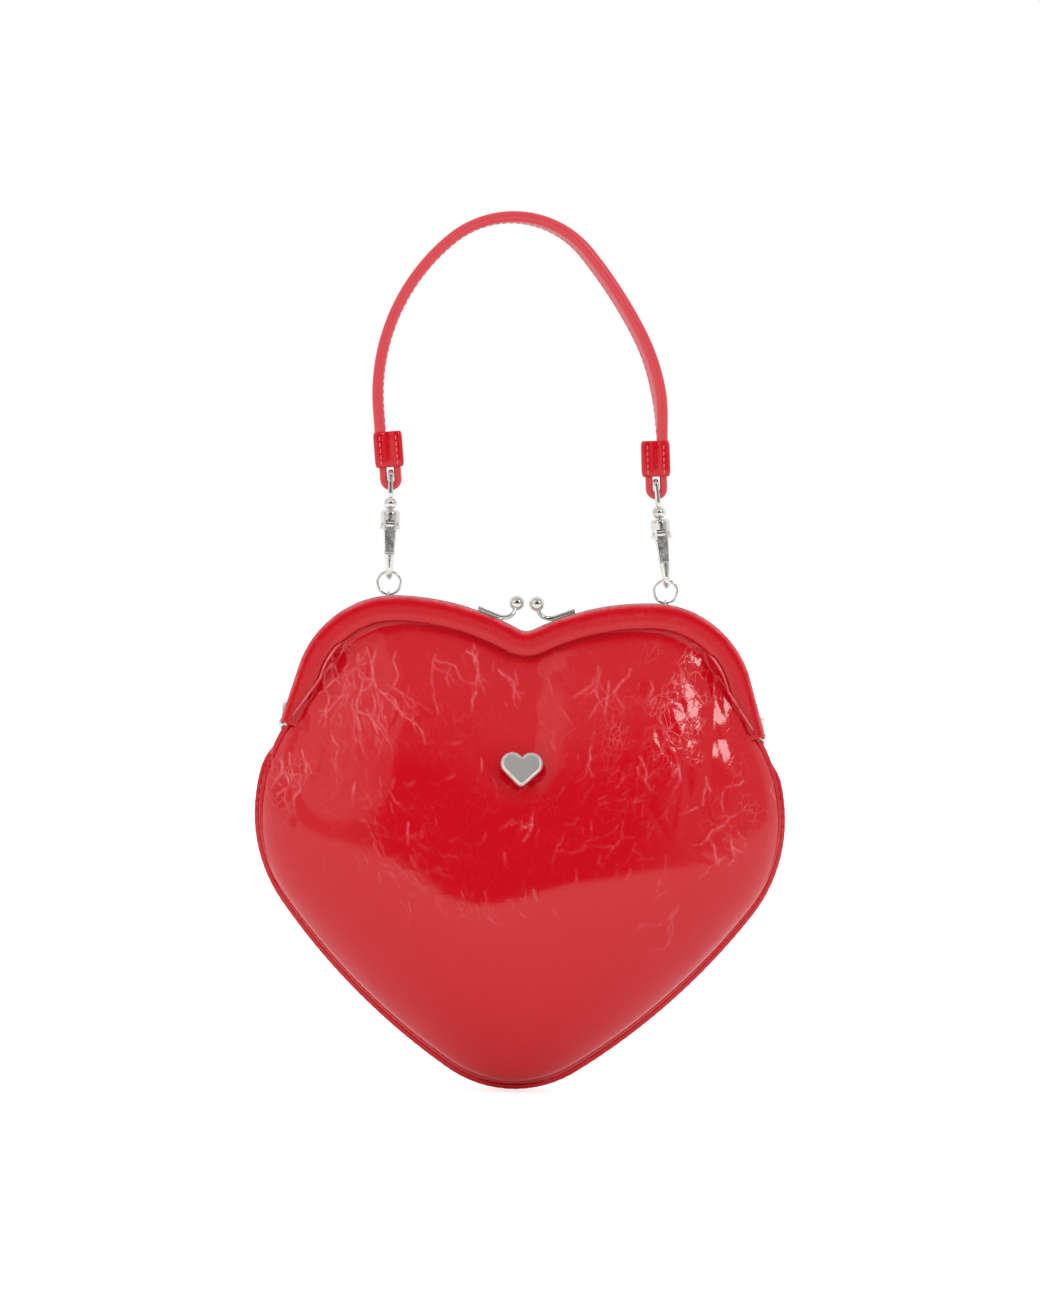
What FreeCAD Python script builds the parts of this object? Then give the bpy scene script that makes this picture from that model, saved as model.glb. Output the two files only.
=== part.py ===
import FreeCAD, Part
import math
import os

import Sketcher
from FreeCAD import Placement, Rotation, Vector

# A heart shaped leather purse with a two-ball frame clasp, hung by two wire rings and two snap hooks
# from a short leather handle. Millimetres; X runs across the purse, -Y is its front and +Z is up.
# The origin is the underside of the handle over the middle of the purse, where it is carried.
# The purse itself is drawn from the dip in the middle of its frame and then placed by PURSE.

SIZES = [
    # Top line of the frame, seen from the front
    ("dip_radius", 6.0),
    ("lobe_inner_radius", 94.0),
    ("lobe_top_rise", 11.8),
    ("lobe_outer_radius", 36.0),
    ("lobe_flare", 4.8),
    ("hinge_inset", 8.2),
    ("hinge_drop", 35.0),
    # Frame halves and their facing
    ("frame_gap", 0.5),
    ("frame_depth", 5.2),
    ("channel_height", 6.4),
    ("channel_wall", 0.9),
    ("frame_end", 4.0),
    ("band_height", 9.0),
    ("facing_thickness", 1.3),
    ("facing_lip", 2.6),
    ("cord_width", 1.8),
    ("ear_radius", 3.2),
    ("ear_thickness", 1.0),
    ("rivet_diameter", 2.0),
    ("rivet_head_radius", 2.2),
    # Outline of the body below the hinges
    ("body_half_width", 95.0),
    ("widest_drop", 66.0),
    ("shoulder_radius", 55.0),
    ("flank_radius", 240.0),
    ("tip_radius", 42.0),
    ("tip_drop", 163.5),
    # Body panels
    ("piping_radius", 1.5),
    ("seam_gap", 0.3),
    ("leather_thickness", 1.4),
    ("body_depth", 35.5),
    ("neck_depth", 6.8),
    ("neck_drop", 5.0),
    ("fullest_drop", 82.0),
    ("lining_inset", 3.0),
    ("lining_thickness", 0.6),
    ("mouth_radius", 25.0),
    ("mouth_end_inset", 12.8),
    ("hinge_room", 9.5),
    # Clasp
    ("ball_radius", 2.75),
    ("arm_radius", 0.95),
    ("arm_root_side", 17.3),
    ("arm_foot", 7.8),
    ("arm_bend_radius", 4.6),
    ("arm_lean", 28.0),
    # Rings and their staples
    ("ring_side", 49.5),
    ("ring_radius", 4.1),
    ("ring_wire", 1.0),
    ("ring_play", 0.1),
    ("staple_wire", 0.8),
    ("ring_setback", 1.85),
    # Snap hooks
    ("clip_length", 32.9),
    ("left_clip_lean", 0.8),
    ("eye_thickness", 1.8),
    ("eye_crest", 3.6),
    ("eye_window", 4.4),
    ("eye_rim", 1.9),
    ("eye_corner", 2.4),
    ("bead_radius", 2.4),
    ("stem_diameter", 2.0),
    ("head_width", 6.8),
    ("head_depth", 9.0),
    ("head_height", 6.9),
    ("head_flange", 0.25),
    ("hook_bar", 2.4),
    ("hook_throat", 4.2),
    ("spine_width", 5.0),
    ("nose_width", 3.8),
    ("nose_height", 6.0),
    ("gate_width", 4.6),
    ("gate_foot_width", 3.7),
    ("gate_thickness", 1.5),
    ("gate_pin_diameter", 1.1),
    ("knuckle_radius", 1.3),
    ("knuckle_width", 2.8),
    ("spring_fall", 6.0),
    # Handle
    ("strap_thickness", 4.2),
    ("strap_width", 9.0),
    ("tongue_thickness", 2.5),
    ("strap_play", 0.4),
    ("tongue_width", 7.4),
    ("left_end_lean", 6.2),
    ("right_end_lean", 3.5),
    ("leg_length", 25.3),
    ("first_radius", 71.5),
    ("first_heading", 49.2),
    ("top_radius", 34.1),
    ("top_heading", 139.3),
    ("right_radius", 171.0),
    ("right_heading", 150.5),
    ("last_radius", 75.4),
    ("keeper_start", 4.4),
    ("keeper_height", 12.8),
    ("keeper_wall", 1.2),
    # Heart stud on the front
    ("stud_drop", 47.5),
    ("stud_lobe_radius", 4.2),
    ("stud_thickness", 2.2),
    ("stud_post_radius", 1.2),
    ("washer_radius", 4.0),
    ("washer_thickness", 0.7),
]

doc = FreeCAD.newDocument("HeartPurse")
sheet = doc.addObject("Spreadsheet::Sheet", "Sizes")
for row, (alias, amount) in enumerate(SIZES, start=1):
    sheet.set("A%d" % row, alias.replace("_", " "))
    sheet.set("B%d" % row, str(amount))
    sheet.setAlias("B%d" % row, alias)
doc.recompute()

pieces = []


def size(alias):
    """The number in the cell with this alias."""
    return float(sheet.get(alias))


def finish(label, item):
    """Keeps an object as a finished sub-part under its own label."""
    item.Label = label
    pieces.append(item)
    return item


def axes(x_axis, y_axis, z_axis):
    """Rotation that carries the three local axes to the given directions."""
    return Rotation(Vector(*x_axis), Vector(*y_axis), Vector(*z_axis), "ZXY")


UNTURNED = Rotation()
ALONG_X = axes((0, 1, 0), (0, 0, 1), (1, 0, 0))
ALONG_Y = axes((0, 0, 1), (1, 0, 0), (0, 1, 0))
LOWER_YZ = axes((0, -1, 0), (0, 0, -1), (1, 0, 0))
LOWER_XZ = axes((1, 0, 0), (0, 0, -1), (0, 1, 0))
UPRIGHT = Rotation(Vector(1, 0, 0), 90)


def at(x, y, z, turn=UNTURNED):
    """Placement at a point with a turn."""
    return Placement(Vector(x, y, z), turn)


def primitive(kind, name, placement, **bindings):
    """A Part primitive whose sizes follow the sheet."""
    item = doc.addObject("Part::" + kind, name)
    for target, expression in bindings.items():
        item.setExpression(target, expression)
    item.Placement = placement
    return item


def block(name, frame, x_range, y_range, z_range):
    """A Part::Box between three pairs of limits in a local frame."""
    item = doc.addObject("Part::Box", name)
    item.Length = x_range[1] - x_range[0]
    item.Width = y_range[1] - y_range[0]
    item.Height = z_range[1] - z_range[0]
    item.Placement = frame.multiply(at(x_range[0], y_range[0], z_range[0]))
    return item


def fuse(name, *items):
    """Union of several objects."""
    item = doc.addObject("Part::MultiFuse", name)
    item.Shapes = list(items)
    item.Refine = True
    return item


def cut(name, base, tool):
    """Base without tool."""
    item = doc.addObject("Part::Cut", name)
    item.Base = base
    item.Tool = tool
    return item


def common(name, base, tool):
    """What base and tool share."""
    item = doc.addObject("Part::Common", name)
    item.Base = base
    item.Tool = tool
    return item


def drawing(name, placement, geometry):
    """A free sketch with a placement of its own."""
    sketch = doc.addObject("Sketcher::SketchObject", name)
    sketch.Placement = placement
    for element in geometry:
        sketch.addGeometry(element)
    return sketch


def body_sketch(body, name, plane, geometry):
    """A sketch on one of the body's own origin planes."""
    planes = {feature.Role: feature for feature in body.Origin.OriginFeatures}
    sketch = body.newObject("Sketcher::SketchObject", name)
    sketch.AttachmentSupport = [(planes[plane], "")]
    sketch.MapMode = "FlatFace"
    for element in geometry:
        sketch.addGeometry(element)
    return sketch


def arc(centre_x, centre_y, radius, start, stop, side=1):
    """Arc in a sketch, angles in degrees; side -1 mirrors it across the middle."""
    if side < 0:
        start, stop = 180 - stop, 180 - start
    circle = Part.Circle(Vector(side * centre_x, centre_y, 0), Vector(0, 0, 1), radius)
    return Part.ArcOfCircle(circle, math.radians(start), math.radians(stop))


def line(start, stop, side=1):
    """Straight edge in a sketch; side -1 mirrors it across the middle."""
    return Part.LineSegment(Vector(side * start[0], start[1], 0), Vector(side * stop[0], stop[1], 0))


def polygon(points):
    """Closed outline of straight edges."""
    return [line(here, there) for here, there in zip(points, points[1:] + points[:1])]


def polar(centre, radius, angle):
    """Point at an angle in degrees on a circle."""
    turn = math.radians(angle)
    return (centre[0] + radius * math.cos(turn), centre[1] + radius * math.sin(turn))


# Circles and tangent lines that make up the frame's top line and the body's outline.
hinge = (size("body_half_width") - size("hinge_inset"), -size("hinge_drop"))
lobe_top_side = hinge[0] - size("lobe_flare") - size("lobe_outer_radius")
inner_centre = (lobe_top_side, size("lobe_top_rise") - size("lobe_inner_radius"))
outer_centre = (lobe_top_side, size("lobe_top_rise") - size("lobe_outer_radius"))
dip_reach = size("dip_radius") + size("lobe_inner_radius")
dip_centre = (0.0, inner_centre[1] + math.sqrt(dip_reach ** 2 - inner_centre[0] ** 2))
dip_angle = math.degrees(math.atan2(inner_centre[1] - dip_centre[1], inner_centre[0]))


def tangent_angle(centre, radius, point):
    """Angle on the circle where the tangent line from a point outside and below touches it."""
    across = point[0] - centre[0]
    along = point[1] - centre[1]
    reach = math.hypot(across, along)
    return math.degrees(math.atan2(along, across) + math.acos(radius / reach))


side_angle = tangent_angle(outer_centre, size("lobe_outer_radius"), hinge)
shoulder_centre = (size("body_half_width") - size("shoulder_radius"), -size("widest_drop"))
neck_rise = size("widest_drop") - size("hinge_drop")
neck_radius = (size("hinge_inset") ** 2 + neck_rise ** 2) / (2 * size("hinge_inset"))
neck_centre = (size("body_half_width") - neck_radius, -size("widest_drop"))
tip_centre = (0.0, size("tip_radius") - size("tip_drop"))


def touching_centre(first, first_reach, second, second_reach):
    """Centre at a given reach from two points, on the upper left of the line from the first to the second."""
    across = second[0] - first[0]
    along = second[1] - first[1]
    apart = math.hypot(across, along)
    corner = math.acos((first_reach ** 2 + apart ** 2 - second_reach ** 2) / (2 * first_reach * apart))
    return polar(first, first_reach, math.degrees(math.atan2(along, across) - corner))


def angle_to(centre, point):
    """Angle, in degrees, of the direction from a centre to a point."""
    return math.degrees(math.atan2(point[1] - centre[1], point[0] - centre[0]))


# The bowed flank is a large arc that touches the shoulder and tip circles from outside.
flank_centre = touching_centre(shoulder_centre, size("flank_radius") - size("shoulder_radius"),
                               tip_centre, size("flank_radius") - size("tip_radius"))
flank_top_angle = angle_to(flank_centre, shoulder_centre)
flank_low_angle = angle_to(flank_centre, tip_centre)


def frame_side(height, depth):
    """Half width, at a height, of the line that runs a depth inside the frame's top line."""
    radius = size("lobe_outer_radius") - depth
    touch = polar(outer_centre, radius, side_angle)
    if height > touch[1]:
        return outer_centre[0] + math.sqrt(max(radius ** 2 - (height - outer_centre[1]) ** 2, 0.0))
    return touch[0] + (touch[1] - height) * math.tan(math.radians(side_angle))


def lobe_circle(side):
    """Centre and radius of the circle that the frame's top line follows at a distance from the middle."""
    if side > lobe_top_side:
        return outer_centre, size("lobe_outer_radius")
    return inner_centre, size("lobe_inner_radius")


def frame_top(side):
    """Height of the frame's top line over a lobe, at a distance from the middle."""
    centre, radius = lobe_circle(side)
    return centre[1] + math.sqrt(radius ** 2 - (side - centre[0]) ** 2)


def frame_line(depth, stop, side=1):
    """Edges of one half of the line that runs a depth inside the frame's top line, down to a height."""
    radius = size("lobe_outer_radius") - depth
    return [
        arc(0.0, dip_centre[1], size("dip_radius") + depth, -90, dip_angle, side),
        arc(inner_centre[0], inner_centre[1], size("lobe_inner_radius") - depth, 90, dip_angle + 180, side),
        arc(outer_centre[0], outer_centre[1], radius, side_angle, 90, side),
        line(polar(outer_centre, radius, side_angle), (frame_side(stop, depth), stop), side),
    ]


def body_side(height, inset):
    """Half width, at a height, of the body's outline moved inward by an inset."""
    shoulder = size("shoulder_radius") - inset
    tip = size("tip_radius") - inset
    flank = size("flank_radius") - inset
    flank_top = polar(flank_centre, flank, flank_top_angle)
    flank_end = polar(flank_centre, flank, flank_low_angle)
    if height > shoulder_centre[1]:
        return neck_centre[0] + math.sqrt((neck_radius - inset) ** 2 - (height - neck_centre[1]) ** 2)
    if height > flank_top[1]:
        return shoulder_centre[0] + math.sqrt(shoulder ** 2 - (height - shoulder_centre[1]) ** 2)
    if height > flank_end[1]:
        return flank_centre[0] + math.sqrt(flank ** 2 - (height - flank_centre[1]) ** 2)
    return math.sqrt(max(tip ** 2 - (height - tip_centre[1]) ** 2, 0.0))


def body_depth_at(height):
    """Depth of the front or back panel at the middle: rises from the frame, falls away to the tip."""
    if height > -size("fullest_drop"):
        fall = -size("neck_drop") - height
        share = min(max(fall / (size("fullest_drop") - size("neck_drop")), 0.0), 1.0)
        return size("neck_depth") + (size("body_depth") - size("neck_depth")) * math.sin(math.pi / 2 * share)
    share = (-size("fullest_drop") - height) / (size("tip_drop") - size("fullest_drop"))
    return size("body_depth") * max(1.0 - share ** 2, 0.0) ** 0.75


# Where the rings, snap hooks and handle hang, first measured from the dip of the frame.
ring_seat, seat_radius = lobe_circle(size("ring_side"))
ring_reach = seat_radius + size("ring_play") + size("ring_wire") / 2 + size("ring_radius")
ring_middle = ring_seat[1] + math.sqrt(ring_reach ** 2 - (size("ring_side") - ring_seat[0]) ** 2)
ring_base = ring_middle - size("ring_radius")
ring_crown = ring_middle + size("ring_radius")
strand_offset = size("eye_thickness") / 2 + size("strap_play") + size("tongue_thickness") / 2


def turned(heading):
    """Unit direction for a heading in degrees clockwise from straight up."""
    return (math.sin(math.radians(heading)), math.cos(math.radians(heading)))


def handle_route():
    """Corner points, arc centres and end points of the handle's centre line, left to right."""
    reach = size("clip_length")
    lean = turned(-size("left_clip_lean"))
    left_bar = (-size("ring_side") + reach * lean[0], ring_crown + reach * lean[1])
    heading = -size("left_end_lean")
    ahead = turned(heading)
    foot = (left_bar[0] - strand_offset * ahead[1], left_bar[1] + strand_offset * ahead[0])
    point = (foot[0] + size("leg_length") * ahead[0], foot[1] + size("leg_length") * ahead[1])
    arcs = []
    last = 180 - size("right_end_lean")
    plan = [("first_radius", size("first_heading")), ("top_radius", size("top_heading"))]
    plan += [("right_radius", size("right_heading")), ("last_radius", last)]
    for radius_name, new_heading in plan:
        radius = size(radius_name)
        here = turned(heading)
        centre = (point[0] + radius * here[1], point[1] - radius * here[0])
        arcs.append((centre, radius, 180 - heading, 180 - new_heading))
        point = polar(centre, radius, 180 - new_heading)
        heading = new_heading
    ahead = turned(heading)
    bar_line = (point[0] + strand_offset * ahead[1], point[1] - strand_offset * ahead[0])
    gap = (bar_line[0] - size("ring_side"), bar_line[1] - ring_crown)
    along = gap[0] * ahead[0] + gap[1] * ahead[1]
    drop = -along - math.sqrt(along ** 2 - gap[0] ** 2 - gap[1] ** 2 + reach ** 2)
    right_bar = (bar_line[0] + drop * ahead[0], bar_line[1] + drop * ahead[1])
    return left_bar, right_bar, arcs, point


left_bar, right_bar, handle_arcs, handle_end = handle_route()
crest_centre = handle_arcs[1][0]
crest_radius = size("top_radius") - size("strap_thickness") / 2
grip_rise = crest_centre[1] + math.sqrt(crest_radius ** 2 - crest_centre[0] ** 2)
right_clip_lean = math.degrees(math.atan2(right_bar[0] - size("ring_side"), right_bar[1] - ring_crown))

PURSE = at(0, -size("ring_setback"), -grip_rise)
HANDLE = at(0, 0, -grip_rise)


def hung(point, lean):
    """Frame at a point of the handle's plane, leaning to the right by an angle."""
    return HANDLE.multiply(at(point[0], 0, point[1], Rotation(Vector(0, 1, 0), lean)))


CLIPS = {
    "left": hung((-size("ring_side"), ring_crown), -size("left_clip_lean")),
    "right": hung((size("ring_side"), ring_crown), right_clip_lean),
}
ENDS = {
    "left": hung(left_bar, -size("left_end_lean")),
    "right": hung(right_bar, -size("right_end_lean")),
}
SIDES = (("left", -1), ("right", 1))
HALVES = (("front", -1), ("back", 1))


def make_handle_strap():
    """One leather strap: the arched grip and a thinner tongue folded through the eye at each end."""
    parts = []
    keeper_top = size("keeper_start") + size("keeper_height") + 0.2
    half = size("strap_thickness") / 2
    wide = size("strap_width") / 2
    corner = 0.4 * size("strap_thickness")
    starts = []
    for name, side in SIDES:
        end = ENDS[name].multiply(at(side * strand_offset, 0, keeper_top))
        starts.append(end.Base)
    section = [
        line((-half + corner, -wide), (half - corner, -wide)),
        arc(half - corner, -wide + corner, corner, -90, 0),
        line((half, -wide + corner), (half, wide - corner)),
        arc(half - corner, wide - corner, corner, 0, 90),
        line((half - corner, wide), (-half + corner, wide)),
        arc(-half + corner, wide - corner, corner, 90, 180),
        line((-half, wide - corner), (-half, -wide + corner)),
        arc(-half + corner, -wide + corner, corner, 180, 270),
    ]
    profile = drawing("StrapSection", ENDS["left"].multiply(at(-strand_offset, 0, keeper_top)), section)
    first = handle_arcs[0]
    route = [line((starts[0].x, starts[0].z + grip_rise), polar(first[0], first[1], first[2]))]
    for centre, radius, start, stop in handle_arcs:
        route.append(arc(centre[0], centre[1], radius, stop, start))
    route.append(line(handle_end, (starts[1].x, starts[1].z + grip_rise)))
    path = drawing("StrapRoute", HANDLE.multiply(at(0, 0, 0, UPRIGHT)), route)
    doc.recompute()
    grip = doc.addObject("Part::Sweep", "StrapGrip")
    grip.Sections = [profile]
    grip.Spine = (path, ["Edge%d" % number for number in range(1, len(route) + 1)])
    grip.Solid = True
    grip.Frenet = False
    parts.append(grip)
    outer = strand_offset + size("tongue_thickness") / 2
    inner = strand_offset - size("tongue_thickness") / 2
    reach = size("tongue_width") / 2
    for name, side in SIDES:
        frame = ENDS[name]
        bend = primitive("Cylinder", name + "_bend", frame.multiply(at(0, -reach, 0, LOWER_XZ)),
                         Height="Sizes.tongue_width")
        bend.Radius = outer
        bend.Angle = 180
        bore = primitive("Cylinder", name + "_bend_bore", frame.multiply(at(0, -reach, 0, LOWER_XZ)),
                         Height="Sizes.tongue_width")
        bore.Radius = inner
        strands = [cut(name + "_fold", bend, bore)]
        near = sorted((side * inner, side * outer))
        far = sorted((-side * inner, -side * outer))
        strands.append(block(name + "_strand", frame, near, (-reach, reach), (0, keeper_top + 1.0)))
        strands.append(block(name + "_return", frame, far, (-reach, reach), (0, keeper_top - 2.0)))
        parts.extend(strands)
    finish("handle_strap", fuse("HandleStrap", *parts))


def make_keeper(name):
    """Stitched leather sleeve that holds the folded end of the strap together."""
    inner_x = strand_offset + size("tongue_thickness") / 2 + 0.15
    inner_y = size("tongue_width") / 2 + 0.15
    outer_x = inner_x + size("keeper_wall")
    outer_y = inner_y + size("keeper_wall")
    corner = 1.5 * size("keeper_wall")
    outline = [
        line((-outer_x + corner, -outer_y), (outer_x - corner, -outer_y)),
        arc(outer_x - corner, -outer_y + corner, corner, -90, 0),
        line((outer_x, -outer_y + corner), (outer_x, outer_y - corner)),
        arc(outer_x - corner, outer_y - corner, corner, 0, 90),
        line((outer_x - corner, outer_y), (-outer_x + corner, outer_y)),
        arc(-outer_x + corner, outer_y - corner, corner, 90, 180),
        line((-outer_x, outer_y - corner), (-outer_x, -outer_y + corner)),
        arc(-outer_x + corner, -outer_y + corner, corner, 180, 270),
    ]
    hollow = polygon([(-inner_x, -inner_y), (inner_x, -inner_y), (inner_x, inner_y), (-inner_x, inner_y)])
    body = doc.addObject("PartDesign::Body", name + "_keeper_body")
    sketch = body_sketch(body, name + "_keeper_outline", "XY_Plane", outline + hollow)
    pad = body.newObject("PartDesign::Pad", name + "_keeper_pad")
    pad.Profile = sketch
    pad.setExpression("Length", "Sizes.keeper_height")
    body.Placement = ENDS[name].multiply(at(0, 0, size("keeper_start")))
    finish(name + "_keeper", body)


# Heights in a snap hook's own frame, from the middle of the ring wire it hangs on. The spine is at +Y.
bar_near = size("hook_throat") / 2
bar_far = bar_near + size("hook_bar")
bar_middle = (bar_near + bar_far) / 2
bend_height = bar_near - size("ring_wire") / 2 - 0.2
eye_low = size("clip_length") - size("eye_thickness") / 2 - size("eye_window") - size("eye_rim")
bead_middle = eye_low + 1.0 - size("bead_radius")
bead_low = bead_middle - 0.8 * size("bead_radius")
head_top = bead_low - 0.35
head_base = head_top - size("head_height")
stem_foot = head_top - 1.9
head_room = size("stem_diameter") / 2 + 0.7
pivot_height = head_base + size("knuckle_radius") + 0.45
pivot_depth = -(bar_near + 0.6)
gate_near = -bar_near - 0.1
pin_share = math.sqrt(1 - (2 * pivot_depth / size("head_depth")) ** 2)
pin_half = pin_share * size("head_width") / 2 - 0.1


def oval(half_x, half_y, centre_y=0.0):
    """Ellipse with its axes along X and Y, and the angle on it of its +X end."""
    middle = Vector(0, centre_y, 0)
    if half_x >= half_y:
        return Part.Ellipse(middle, half_x, half_y), 0.0
    return Part.Ellipse(Vector(0, centre_y + half_y, 0), Vector(-half_x, centre_y, 0), middle), -90.0


def rounded(half, low, high, corner):
    """Outline of a rectangle with round corners, a half width either side of the middle."""
    return [
        line((-half + corner, low), (half - corner, low)),
        arc(half - corner, low + corner, corner, -90, 0),
        line((half, low + corner), (half, high - corner)),
        arc(half - corner, high - corner, corner, 0, 90),
        line((half - corner, high), (-half + corner, high)),
        arc(-half + corner, high - corner, corner, 90, 180),
        line((-half, high - corner), (-half, low + corner)),
        arc(-half + corner, low + corner, corner, 180, 270),
    ]


def round_edges(body, feature, name, chosen, expression):
    """Fillet on the edges of a body's feature whose bounds pass a test."""
    rims = []
    for number, edge in enumerate(feature.Shape.Edges, start=1):
        if chosen(edge.BoundBox):
            rims.append("Edge%d" % number)
    fillet = body.newObject("PartDesign::Fillet", name)
    fillet.Base = (feature, rims)
    fillet.setExpression("Radius", expression)
    doc.recompute()
    return fillet


def make_eye_plate(name):
    """Flat cast loop with full round edges; the folded strap hangs from the bar over its window."""
    thickness = size("eye_thickness")
    bar_low = size("clip_length") - thickness / 2
    window_low = bar_low - size("eye_window")
    crest = size("clip_length") + size("eye_crest")
    half = size("tongue_width") / 2 + 0.3
    outer_half = half + size("eye_rim")
    edge_radius = "Sizes.eye_thickness * 0.45"
    body = doc.addObject("PartDesign::Body", name + "_eye_body")
    pad = body.newObject("PartDesign::Pad", name + "_eye_pad")
    outline = rounded(outer_half, eye_low, crest, size("eye_corner"))
    pad.Profile = body_sketch(body, name + "_eye_outline", "YZ_Plane", outline)
    pad.setExpression("Length", "Sizes.eye_thickness")
    doc.recompute()
    plate = round_edges(body, pad, name + "_eye_edges", lambda bounds: bounds.XLength < 0.01, edge_radius)
    pocket = body.newObject("PartDesign::Pocket", name + "_eye_window")
    window = rounded(half, window_low, bar_low, 0.6)
    pocket.Profile = body_sketch(body, name + "_window_outline", "YZ_Plane", window)
    pocket.Type = "ThroughAll"
    pocket.Reversed = True
    doc.recompute()
    if pocket.Shape.Volume > plate.Shape.Volume - half * size("eye_window") * thickness:
        raise RuntimeError("the window of the %s eye is not cut" % name)

    def on_window(bounds):
        """True for an edge of the window on either face of the plate."""
        inside = abs(bounds.Center.y) < half + 0.05 and window_low - 0.05 < bounds.Center.z < bar_low + 0.05
        return inside and bounds.XLength < 0.01

    round_edges(body, pocket, name + "_window_edges", on_window, edge_radius)
    body.Placement = CLIPS[name].multiply(at(-thickness / 2, 0, 0))
    return body


def make_swivel_eye(name):
    """Eye for the strap on a bead and stem, whose riveted head turns inside the hook's head."""
    stem = size("stem_diameter") / 2
    bead = size("bead_radius")
    waist = math.sqrt(bead ** 2 - (bead_middle - bead_low) ** 2)
    low_turn = math.degrees(math.asin((bead_low - bead_middle) / bead))
    outline = [
        line((0, stem_foot - 1.2), (head_room - 0.1, stem_foot - 1.2)),
        line((head_room - 0.1, stem_foot - 1.2), (head_room - 0.1, stem_foot + 0.1)),
        line((head_room - 0.1, stem_foot + 0.1), (stem, stem_foot + 0.1)),
        line((stem, stem_foot + 0.1), (stem, bead_low)),
        line((stem, bead_low), (waist, bead_low)),
        arc(0, bead_middle, bead, low_turn, 90),
        line((0, bead_middle + bead), (0, stem_foot - 1.2)),
    ]
    body = doc.addObject("PartDesign::Body", name + "_stem_body")
    sketch = body_sketch(body, name + "_stem_outline", "XZ_Plane", outline)
    turn = body.newObject("PartDesign::Revolution", name + "_stem_turn")
    turn.Profile = sketch
    turn.ReferenceAxis = (sketch, ["V_Axis"])
    turn.Angle = 360
    body.Placement = CLIPS[name]
    finish(name + "_swivel_eye", fuse(name + "_eye_union", make_eye_plate(name), body))


def tapered_bar(name, frame, depth, high, half_width):
    """Loft from the round end of the hook's bend up to an oval as deep as its bar."""
    reach = size("hook_bar") / 2
    foot = drawing(name + "_foot", frame.multiply(at(0, depth, bend_height)), [oval(reach, reach)[0]])
    head = drawing(name + "_head", frame.multiply(at(0, depth, high)), [oval(half_width, reach)[0]])
    doc.recompute()
    bar = doc.addObject("Part::Loft", name)
    bar.Sections = [foot, head]
    bar.Solid = True
    return bar


def oval_post(name, proud, height):
    """Upright oval post, standing proud of the head's own oval, its top edge rounded over."""
    half_x = size("head_width") / 2 + proud
    half_y = size("head_depth") / 2 + proud
    body = doc.addObject("PartDesign::Body", name + "_body")
    pad = body.newObject("PartDesign::Pad", name + "_pad")
    pad.Profile = body_sketch(body, name + "_outline", "XY_Plane", [oval(half_x, half_y)[0]])
    pad.setExpression("Length", height)
    doc.recompute()
    top = pad.Length.Value - 0.01
    round_edges(body, pad, name + "_round", lambda bounds: bounds.ZMin > top, "(%s) * 0.2" % height)
    return body


def make_hook(name):
    """Cast hook: oval head with the slot for the gate, tapered spine, round bend and flared nose."""
    frame = CLIPS[name]
    deep = size("head_depth") / 2
    bend = primitive("Torus", name + "_bend_bar", frame.multiply(at(0, 0, bend_height, LOWER_YZ)),
                     Radius2="Sizes.hook_bar / 2")
    bend.Radius1 = bar_middle
    bend.Angle3 = 180
    nose = tapered_bar(name + "_nose", frame, -bar_middle, size("nose_height"), size("nose_width") / 2)
    spine = tapered_bar(name + "_spine", frame, bar_middle, head_base + 0.4, size("spine_width") / 2)
    head = oval_post(name + "_hook_head", 0.0, "Sizes.head_height")
    head.Placement = frame.multiply(at(0, 0, head_base))
    flange = oval_post(name + "_hook_flange", size("head_flange"), "Sizes.head_flange * 4")
    flange.Placement = frame.multiply(at(0, 0, head_base))
    solid = fuse(name + "_hook_union", bend, nose, spine, head, flange)
    solid.Refine = False
    side = size("knuckle_width") / 2 + 0.15
    roof = pivot_height + size("knuckle_radius") + 0.2
    slot = block(name + "_gate_slot", frame, (-side, side),
                 (-deep - 1.0, pivot_depth + size("knuckle_radius") + 0.3), (head_base - 1.0, roof))
    bore = primitive("Cylinder", name + "_stem_bore", frame.multiply(at(0, 0, stem_foot)))
    bore.Radius = size("stem_diameter") / 2 + 0.06
    bore.Height = size("head_height")
    room = primitive("Cylinder", name + "_head_room", frame.multiply(at(0, 0, stem_foot - 1.3)))
    room.Radius = head_room
    room.Height = 1.5
    pin_hole = primitive("Cylinder", name + "_pin_hole",
                         frame.multiply(at(-size("head_width"), pivot_depth, pivot_height, ALONG_X)))
    pin_hole.Radius = size("gate_pin_diameter") / 2 + 0.02
    pin_hole.Height = 2 * size("head_width")
    hollow = fuse(name + "_hook_hollow", slot, bore, room, pin_hole)
    hook = finish(name + "_hook", cut(name + "_hook_cut", solid, hollow))
    hook.Refine = False


def make_gate_leaf(name):
    """Tapered leaf of the gate, its front edges rounded."""
    top = head_base - 0.3
    foot = size("nose_height") + 0.3
    half_top = size("gate_width") / 2
    half_foot = size("gate_foot_width") / 2
    body = doc.addObject("PartDesign::Body", name + "_leaf_body")
    outline = polygon([(-half_foot, foot), (half_foot, foot), (half_top, top), (-half_top, top)])
    sketch = body_sketch(body, name + "_leaf_outline", "XZ_Plane", outline)
    pad = body.newObject("PartDesign::Pad", name + "_leaf_pad")
    pad.Profile = sketch
    pad.setExpression("Length", "Sizes.gate_thickness")
    doc.recompute()
    face = 0.01 - size("gate_thickness")
    edge_radius = "Sizes.gate_thickness * 0.35"
    round_edges(body, pad, name + "_leaf_edges", lambda bounds: bounds.YMax < face, edge_radius)
    body.Placement = CLIPS[name].multiply(at(0, gate_near, 0))
    return body


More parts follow.
